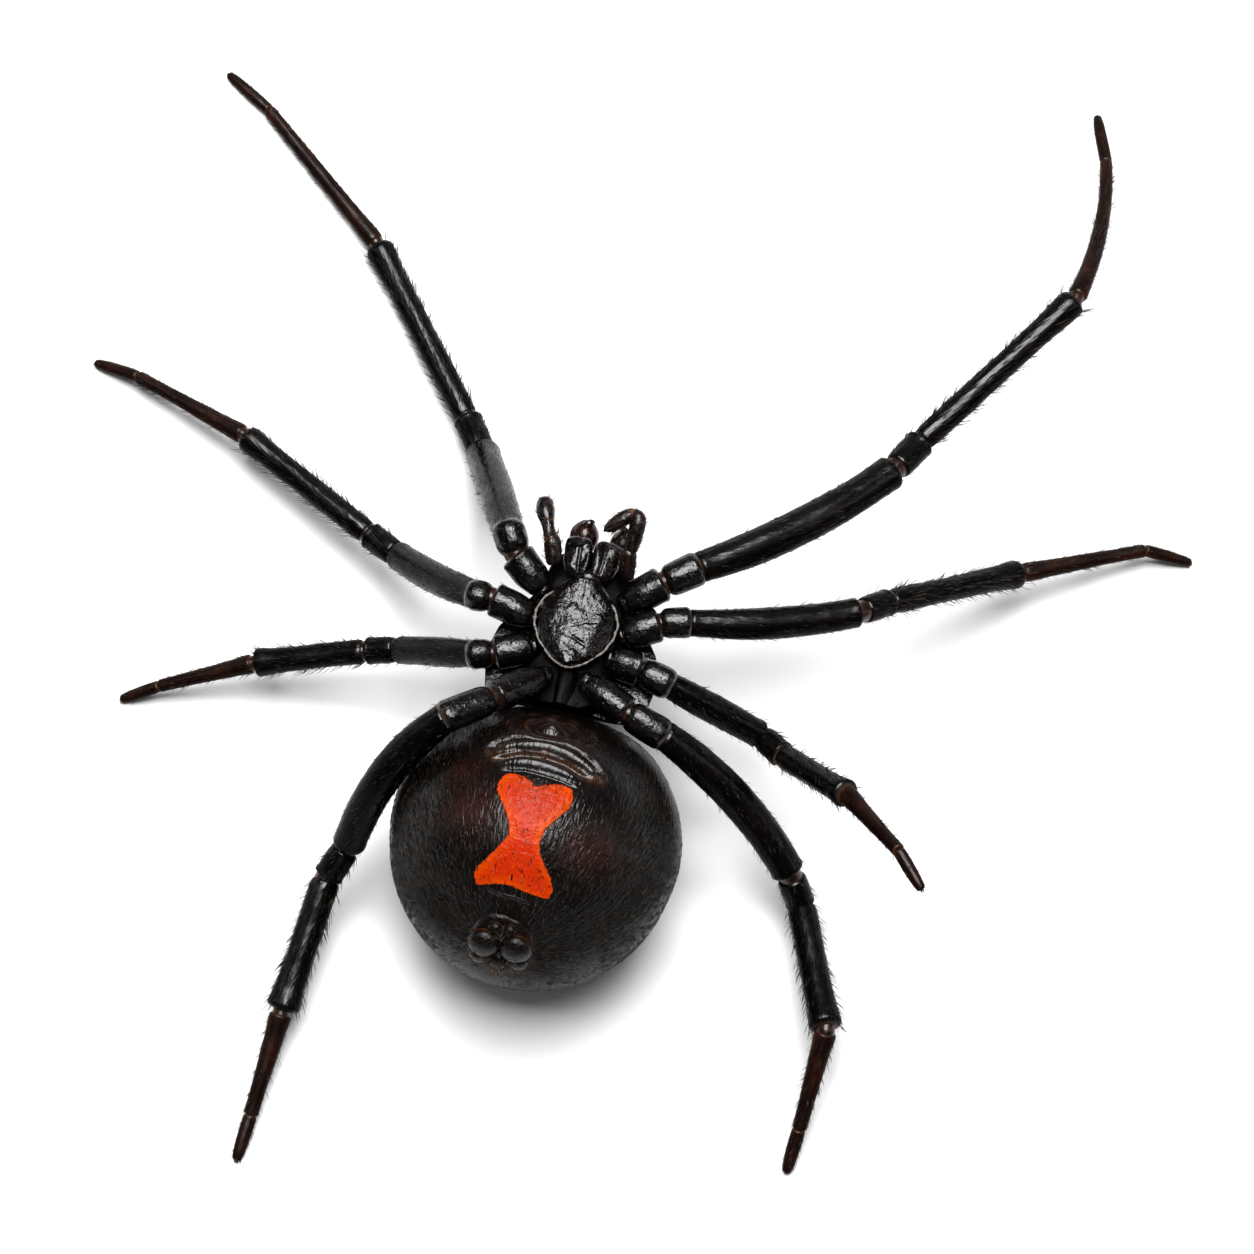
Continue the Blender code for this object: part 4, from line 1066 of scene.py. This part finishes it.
palps = {
    # side: stations as (place, radius), the stations at which the palp is pinched, seed of the relief
    "right": ((((-0.97, 7.12, 5.76), 0.15), ((-1.0, 7.2, 5.8), 0.21), ((-1.12, 7.6, 5.95), 0.23),
               ((-1.17, 7.7, 5.97), 0.2), ((-1.24, 7.82, 5.98), 0.17), ((-1.34, 8.06, 5.98), 0.165),
               ((-1.38, 8.16, 5.98), 0.175), ((-1.42, 8.24, 5.98), 0.2), ((-1.5, 8.46, 5.95), 0.24),
               ((-1.57, 8.72, 5.9), 0.2), ((-1.6, 8.84, 5.88), 0.1)), (3, 6), 6.0),
    "left": ((((0.96, 7.1, 5.78), 0.15), ((0.96, 7.2, 5.86), 0.21), ((0.93, 7.62, 6.2), 0.22),
              ((0.94, 7.72, 6.26), 0.16), ((0.96, 7.82, 6.32), 0.2), ((1.02, 8.36, 6.55), 0.21),
              ((0.99, 8.54, 6.6), 0.19), ((0.85, 8.62, 6.58), 0.16), ((0.7, 8.54, 6.54), 0.2),
              ((0.42, 8.3, 6.45), 0.19), ((0.16, 8.08, 6.36), 0.08)), (3, 7), 2.0),
}
palpLook = dict(shellLook, black="#100806", brown="#3a170b", rim="#a8602f")
palpBrown = polishedShell("thin_red_brown_chitin", palpLook, 0.24)
for side, (stations, pinches, seed) in palps.items():
    shape = newShape()
    last = len(stations) - 1
    rings = []
    for i in range(121):
        t = i / 120
        keys = zip(*((*place, radius) for place, radius in stations))
        x, y, z, radius = (eased([(k / last, value) for k, value in enumerate(values)], t) for values in keys)
        radius *= min(0.4 + t * 30, 1) * min(0.3 + (1 - t) * 25, 1)  # domed ends
        pinch = min(abs(t * last - k) for k in pinches)
        rings.append((Vector((x, y, z)), radius * (1 - 0.06 * bump(pinch, 0.12)), 0.35 * bump(pinch, 0.2)))
    tracks[f"palp_{side}"] = addTube(shape, rings, 28, legRelief(seed, 0.008))
    makePiece(f"palp_{side}_shell", shape, [palpBrown], [f"palp_{side}"])
print("front body built")


# Hairs: tapering three-sided bristles, one row of an array each

hairKinds = {
    # tube: [hairs a mm, length, lean from the surface in degrees, root radius, share of pale ones]
    "coxa": [(26, (0.08, 0.13), (10, 22), 0.006, 0.3)],
    "trochanter": [(34, (0.08, 0.14), (12, 26), 0.006, 0.3)],
    "femur": [(60, (0.13, 0.2), (9, 20), 0.008, 0.16), (24, (0.18, 0.3), (24, 40), 0.0085, 0.05)],
    "knee": [(50, (0.14, 0.22), (12, 24), 0.008, 0.16), (34, (0.26, 0.4), (28, 46), 0.0095, 0.05)],
    "shin": [(55, (0.15, 0.26), (12, 26), 0.008, 0.16), (55, (0.3, 0.5), (26, 44), 0.01, 0.05)],
    "foot": [(42, (0.12, 0.2), (14, 28), 0.007, 0.15), (26, (0.2, 0.34), (28, 44), 0.008, 0.1)],
    "toe": [(42, (0.1, 0.16), (16, 30), 0.006, 0.2), (10, (0.14, 0.2), (30, 45), 0.007, 0.2)],
    "palp": [(70, (0.12, 0.2), (18, 36), 0.007, 0.3), (44, (0.2, 0.3), (36, 58), 0.009, 0.15)],
    "lobe": [(110, (0.14, 0.28), (30, 65), 0.0075, 0.7)],
    "tuft": [(500, (0.2, 0.42), (20, 60), 0.008, 0.8)],
}
bellyHairs = {
    "count": 19000, "length": (0.13, 0.22), "lean": (7, 15), "rootRadius": 0.007, "pale": 0.35, "strayed": 0.14,
}
hairShape = {
    # the two rings as (share of the length, share of the root radius, droop), and how far the tip droops
    "rings": ((-0.06, 1.0, 0.0), (0.5, 0.75, 0.03)), "tipDroop": 0.12, "patch": 0.0015,
    "faces": ((0, 2, 1), (0, 1, 4), (0, 4, 3), (1, 2, 5), (1, 5, 4), (2, 0, 3), (2, 3, 5), (3, 4, 6), (4, 5, 6),
              (5, 3, 6)),
}


def unit(ways):
    return ways / (np.linalg.norm(ways, axis=1)[:, None] + 1e-12)


def addHairs(coat, roots, outs, ways, lengths, leans, radii, tones, marks, spots):
    # spots are the roots' places on an unwrap of the skin, and each hair is a small patch there
    ways = unit(ways - outs * np.sum(ways * outs, axis=1)[:, None])
    lean = np.radians(leans)[:, None]
    course = ways * np.cos(lean) + outs * np.sin(lean)
    sides = unit(np.cross(course, outs))
    heights = np.cross(sides, course)
    lengths, radii = lengths[:, None], radii[:, None]
    rows, patches = [], []
    for place, size, droop in hairShape["rings"]:
        middle = roots + course * lengths * place - outs * lengths * droop
        for turn in (90, 210, 330):
            a = math.radians(turn)
            rows.append(middle + (sides * math.cos(a) + heights * math.sin(a)) * radii * size)
            patches.append(spots + hairShape["patch"] * np.array((math.cos(a), place * 2 - 0.5)))
    rows.append(roots + course * lengths - outs * lengths * hairShape["tipDroop"])
    patches.append(spots + np.array((0.0, hairShape["patch"])))
    base = sum(len(p) for p in coat["points"]) + len(rows) * np.arange(len(roots))[:, None]
    coat["points"].append(np.stack(rows, axis=1).reshape(-1, 3))
    coat["uv"].append(np.stack(patches, axis=1).reshape(-1, 2))
    coat["tone"].append(np.repeat(tones, len(rows)))
    coat["mark"].append(np.repeat(marks, len(rows)))
    coat["faces"] += [base + np.array(face) for face in hairShape["faces"]]


def newCoat():
    return {key: [] for key in ("points", "uv", "tone", "mark", "faces")}


def makeCoat(name, coat):
    shape = {key: np.concatenate(rows) for key, rows in coat.items()}
    shape.update(cuticle=shape["points"], faces=shape["faces"].tolist())
    piece = makePiece(name, shape, [bristles])
    print(name, len(piece.data.polygons), "triangles")


def growOnTube(coat, course, kind, strip, startShare=0.0, endShare=1.0):
    # strip: this tube's place on the unwrap, (u, width), and startShare to endShare is its run in v
    centres, radii, ways, tops, sides, runs = (np.array([ring[k] for ring in course]) for k in range(6))
    total = runs[-1]
    for perMm, length, lean, thickness, pale in hairKinds[kind]:
        count = int(perMm * total)
        run = rng.uniform(0.02 * total, 0.985 * total, count)
        at = np.clip(np.searchsorted(runs, run) - 1, 0, len(runs) - 2)
        part = (run - runs[at]) / np.maximum(runs[at + 1] - runs[at], 1e-9)
        angle = rng.uniform(0, 2 * np.pi, count)

        def mixed(values):
            share = part[:, None] if values.ndim > 1 else part
            return values[at] * (1 - share) + values[at + 1] * share

        out = mixed(tops) * np.cos(angle)[:, None] + mixed(sides) * np.sin(angle)[:, None]
        root = mixed(centres) + out * (mixed(radii) * 0.985)[:, None]
        way = ways[at] + np.cross(ways[at], out) * rng.normal(0.12, 0.16, count)[:, None]
        spots = np.column_stack((strip[0] + strip[1] * (0.02 + 0.96 * angle / (2 * np.pi)),
                                 startShare + (endShare - startShare) * run / total))
        tones = np.where(rng.random(count) < pale, rng.uniform(0.3, 1.0, count), rng.uniform(0, 0.12, count))
        addHairs(coat, root, out, way, rng.uniform(*length, count), rng.uniform(*lean, count),
                 thickness * rng.uniform(0.75, 1.2, count), tones, np.zeros(count), spots)


def growOnBelly(coat):
    count = bellyHairs["count"]
    ways = rng.normal(size=(count, 3))
    ways /= np.linalg.norm(ways, axis=1)[:, None]
    lift, mark, _, bare, _, _ = bellyForm(ways)
    places = bellyPlace(ways)
    tail, stalk = (np.array(bellyWay(abdomen[angle])) for angle in ("tailAngle", "stalkAngle"))
    kept = (bare < 0.35) & (ways[:, 2] > -0.93) & (ways @ stalk < 0.97) & (ways @ tail < 0.982)
    kept &= (mark < 0.02) | (rng.random(count) < 0.55)
    kept &= (mark < 0.0) | (mark > 0.18) | (places[:, 1] < 1.7)  # none hangs over the mark's rear edge
    flow = tail - ways * (ways @ tail)[:, None]
    flow /= np.linalg.norm(flow, axis=1)[:, None]
    # the hairs curl round the two dimples beside the hourglass's waist
    leftWay = unit(np.cross(np.cross(ways, left), ways))
    tailWay = np.cross(ways, leftWay)
    for (x, y), reach in abdomen["whorls"]:
        dx, dy = places[:, 0] - x, places[:, 1] - y
        far = np.hypot(dx, dy) + 1e-6
        curl = (leftWay * (-dy / far)[:, None] + tailWay * (dx / far)[:, None]) * np.sign(-x)
        weight = (bump(far, reach) * (ways[:, 2] > 0))[:, None]
        flow = flow * (1 - weight) + curl * weight
    flow += np.cross(ways, flow) * rng.normal(0, bellyHairs["strayed"], count)[:, None]
    points = abdomenPlace(ways, lift)
    pale = rng.random(count) < bellyHairs["pale"]
    tones = np.where(pale, rng.uniform(0.15, 0.6, count), rng.uniform(0.0, 0.1, count))
    marks = ((mark > 0.0) & (rng.random(count) < 0.8)).astype(float)
    lie = hairLie(ways)
    spots = np.column_stack((np.arctan2(lie[:, 1], lie[:, 0]) / (2 * np.pi) + 0.5,
                             lie[:, 2] / (np.pi * abdomen["radius"])))
    pick = np.nonzero(kept)[0]
    addHairs(coat, points[pick], ways[pick], flow[pick], rng.uniform(*bellyHairs["length"], len(pick)),
             rng.uniform(*bellyHairs["lean"], len(pick)), bellyHairs["rootRadius"] * rng.uniform(0.7, 1.2, len(pick)),
             tones[pick], marks[pick], spots[pick])


rng = np.random.default_rng(7)
bristles = bristle("chitin_bristles")
for side in ("right", "left"):
    coat = newCoat()
    for pair in (1, 2, 3, 4):
        courses = [tracks[f"{part}_{side}_{pair}"] for part in legParts]
        ends = np.cumsum([0.0] + [course[-1][5] for course in courses])
        for part, course, start, end in zip(legParts, courses, ends, ends[1:]):
            growOnTube(coat, course, part, ((pair - 1) / 5, 1 / 5), start / ends[-1], end / ends[-1])
    growOnTube(coat, tracks[f"palp_{side}"], "palp", (4 / 5, 1 / 5))
    makeCoat(f"leg_hairs_{side}", coat)
coat = newCoat()
growOnBelly(coat)
makeCoat("abdomen_hairs", coat)
coat = newCoat()
lobes = [name for name in tracks if name.startswith("lobe")]
for number, name in enumerate(lobes):
    kind = "tuft" if name == lobes[-1] else "lobe"
    growOnTube(coat, tracks[name], kind, (number / len(lobes), 1 / len(lobes)))
makeCoat("spinneret_hairs", coat)
print("hairs grown")


# Floor, light and camera, in metres

paperSweep = {"halfWidth": 0.6, "front": -0.6, "back": 0.5, "top": 0.6, "bend": 0.15}


def addFloor():
    mesh = bpy.data.meshes.new("studio_floor")
    bend, wide = paperSweep["bend"], paperSweep["halfWidth"]
    foot = paperSweep["back"] - bend
    rows = [(paperSweep["front"], 0.0), (foot, 0.0)]
    rows += [(foot + bend * math.sin(a), bend - bend * math.cos(a)) for a in (0.3, 0.6, 0.9, 1.2, math.pi / 2)]
    rows += [(paperSweep["back"], paperSweep["top"])]
    points = [(x, y, z) for y, z in rows for x in (-wide, wide)]
    faces = [(2 * i, 2 * i + 1, 2 * i + 3, 2 * i + 2) for i in range(len(rows) - 1)]
    mesh.from_pydata(points, [], faces)
    mesh.polygons.foreach_set("use_smooth", [True] * len(faces))
    mesh.materials.append(studioPaper("matt_white_paper"))
    floor = bpy.data.objects.new("studio_floor", mesh)
    bpy.context.scene.collection.objects.link(floor)


lamps = {
    # name: place, size and watts; each looks at the spider
    "overhead_softbox": ((-0.005, 0.055, 0.3), (0.19, 0.2), 1.42),
    "front_softbox": ((0.03, -0.26, 0.2), (0.22, 0.12), 0.03),
    "left_strip": ((-0.28, 0.02, 0.16), (0.06, 0.24), 0.05),
    "right_strip": ((0.28, 0.03, 0.14), (0.06, 0.24), 0.07),
}
lampAim = Vector((0, 0.004, 0.004))
roomLight = 0.04


def addLamps():
    for name, (place, size, watts) in lamps.items():
        light = bpy.data.lights.new(name, "AREA")
        light.shape = "RECTANGLE"
        light.size, light.size_y = size
        light.energy = watts
        lamp = bpy.data.objects.new(name, light)
        lamp.location = place
        lamp.rotation_euler = (lampAim - Vector(place)).to_track_quat("-Z", "Y").to_euler()
        bpy.context.scene.collection.objects.link(lamp)
    world = bpy.data.worlds.new("soft_room")
    world.use_nodes = True
    background = world.node_tree.nodes["Background"]
    setInputs(world.node_tree, background, {"Color": "#ffffff", "Strength": roomLight})
    bpy.context.scene.world = world


cameraSetup = {
    "azimuth": 12.0, "elevation": 72.0, "lens": 150.0, "sensor": 36.0, "distance": 0.1375,
    "target": (0.0, 0.0, 0.00375),  # the abdomen's middle
    "targetPixel": (534.0, 846.0), "imageSize": 1254.0,
}


def addCamera():
    c = cameraSetup
    azimuth, elevation = math.radians(c["azimuth"]), math.radians(c["elevation"])
    level = Vector((math.sin(azimuth), -math.cos(azimuth), 0))
    backward = level * math.cos(elevation) + up * math.sin(elevation)
    right = Vector((math.cos(azimuth), math.sin(azimuth), 0))
    above = backward.cross(right)
    pixels = c["imageSize"] / c["sensor"] * c["lens"]
    middle = c["imageSize"] / 2
    x, y = (c["targetPixel"][0] - middle) / pixels, (middle - c["targetPixel"][1]) / pixels
    turned = Matrix((right, above, backward)).transposed().to_4x4()
    turned.translation = Vector(c["target"]) - (-backward + x * right + y * above) * c["distance"]
    data = bpy.data.cameras.new("camera")
    data.lens, data.sensor_width, data.clip_start, data.clip_end = c["lens"], c["sensor"], 0.001, 10.0
    camera = bpy.data.objects.new("camera", data)
    camera.matrix_world = turned
    bpy.context.scene.collection.objects.link(camera)
    bpy.context.scene.camera = camera


addFloor()
addLamps()
addCamera()
bpy.context.scene.view_settings.view_transform = "Standard"
bpy.context.scene.view_settings.look = "Medium High Contrast"
print("floor, light and camera set")
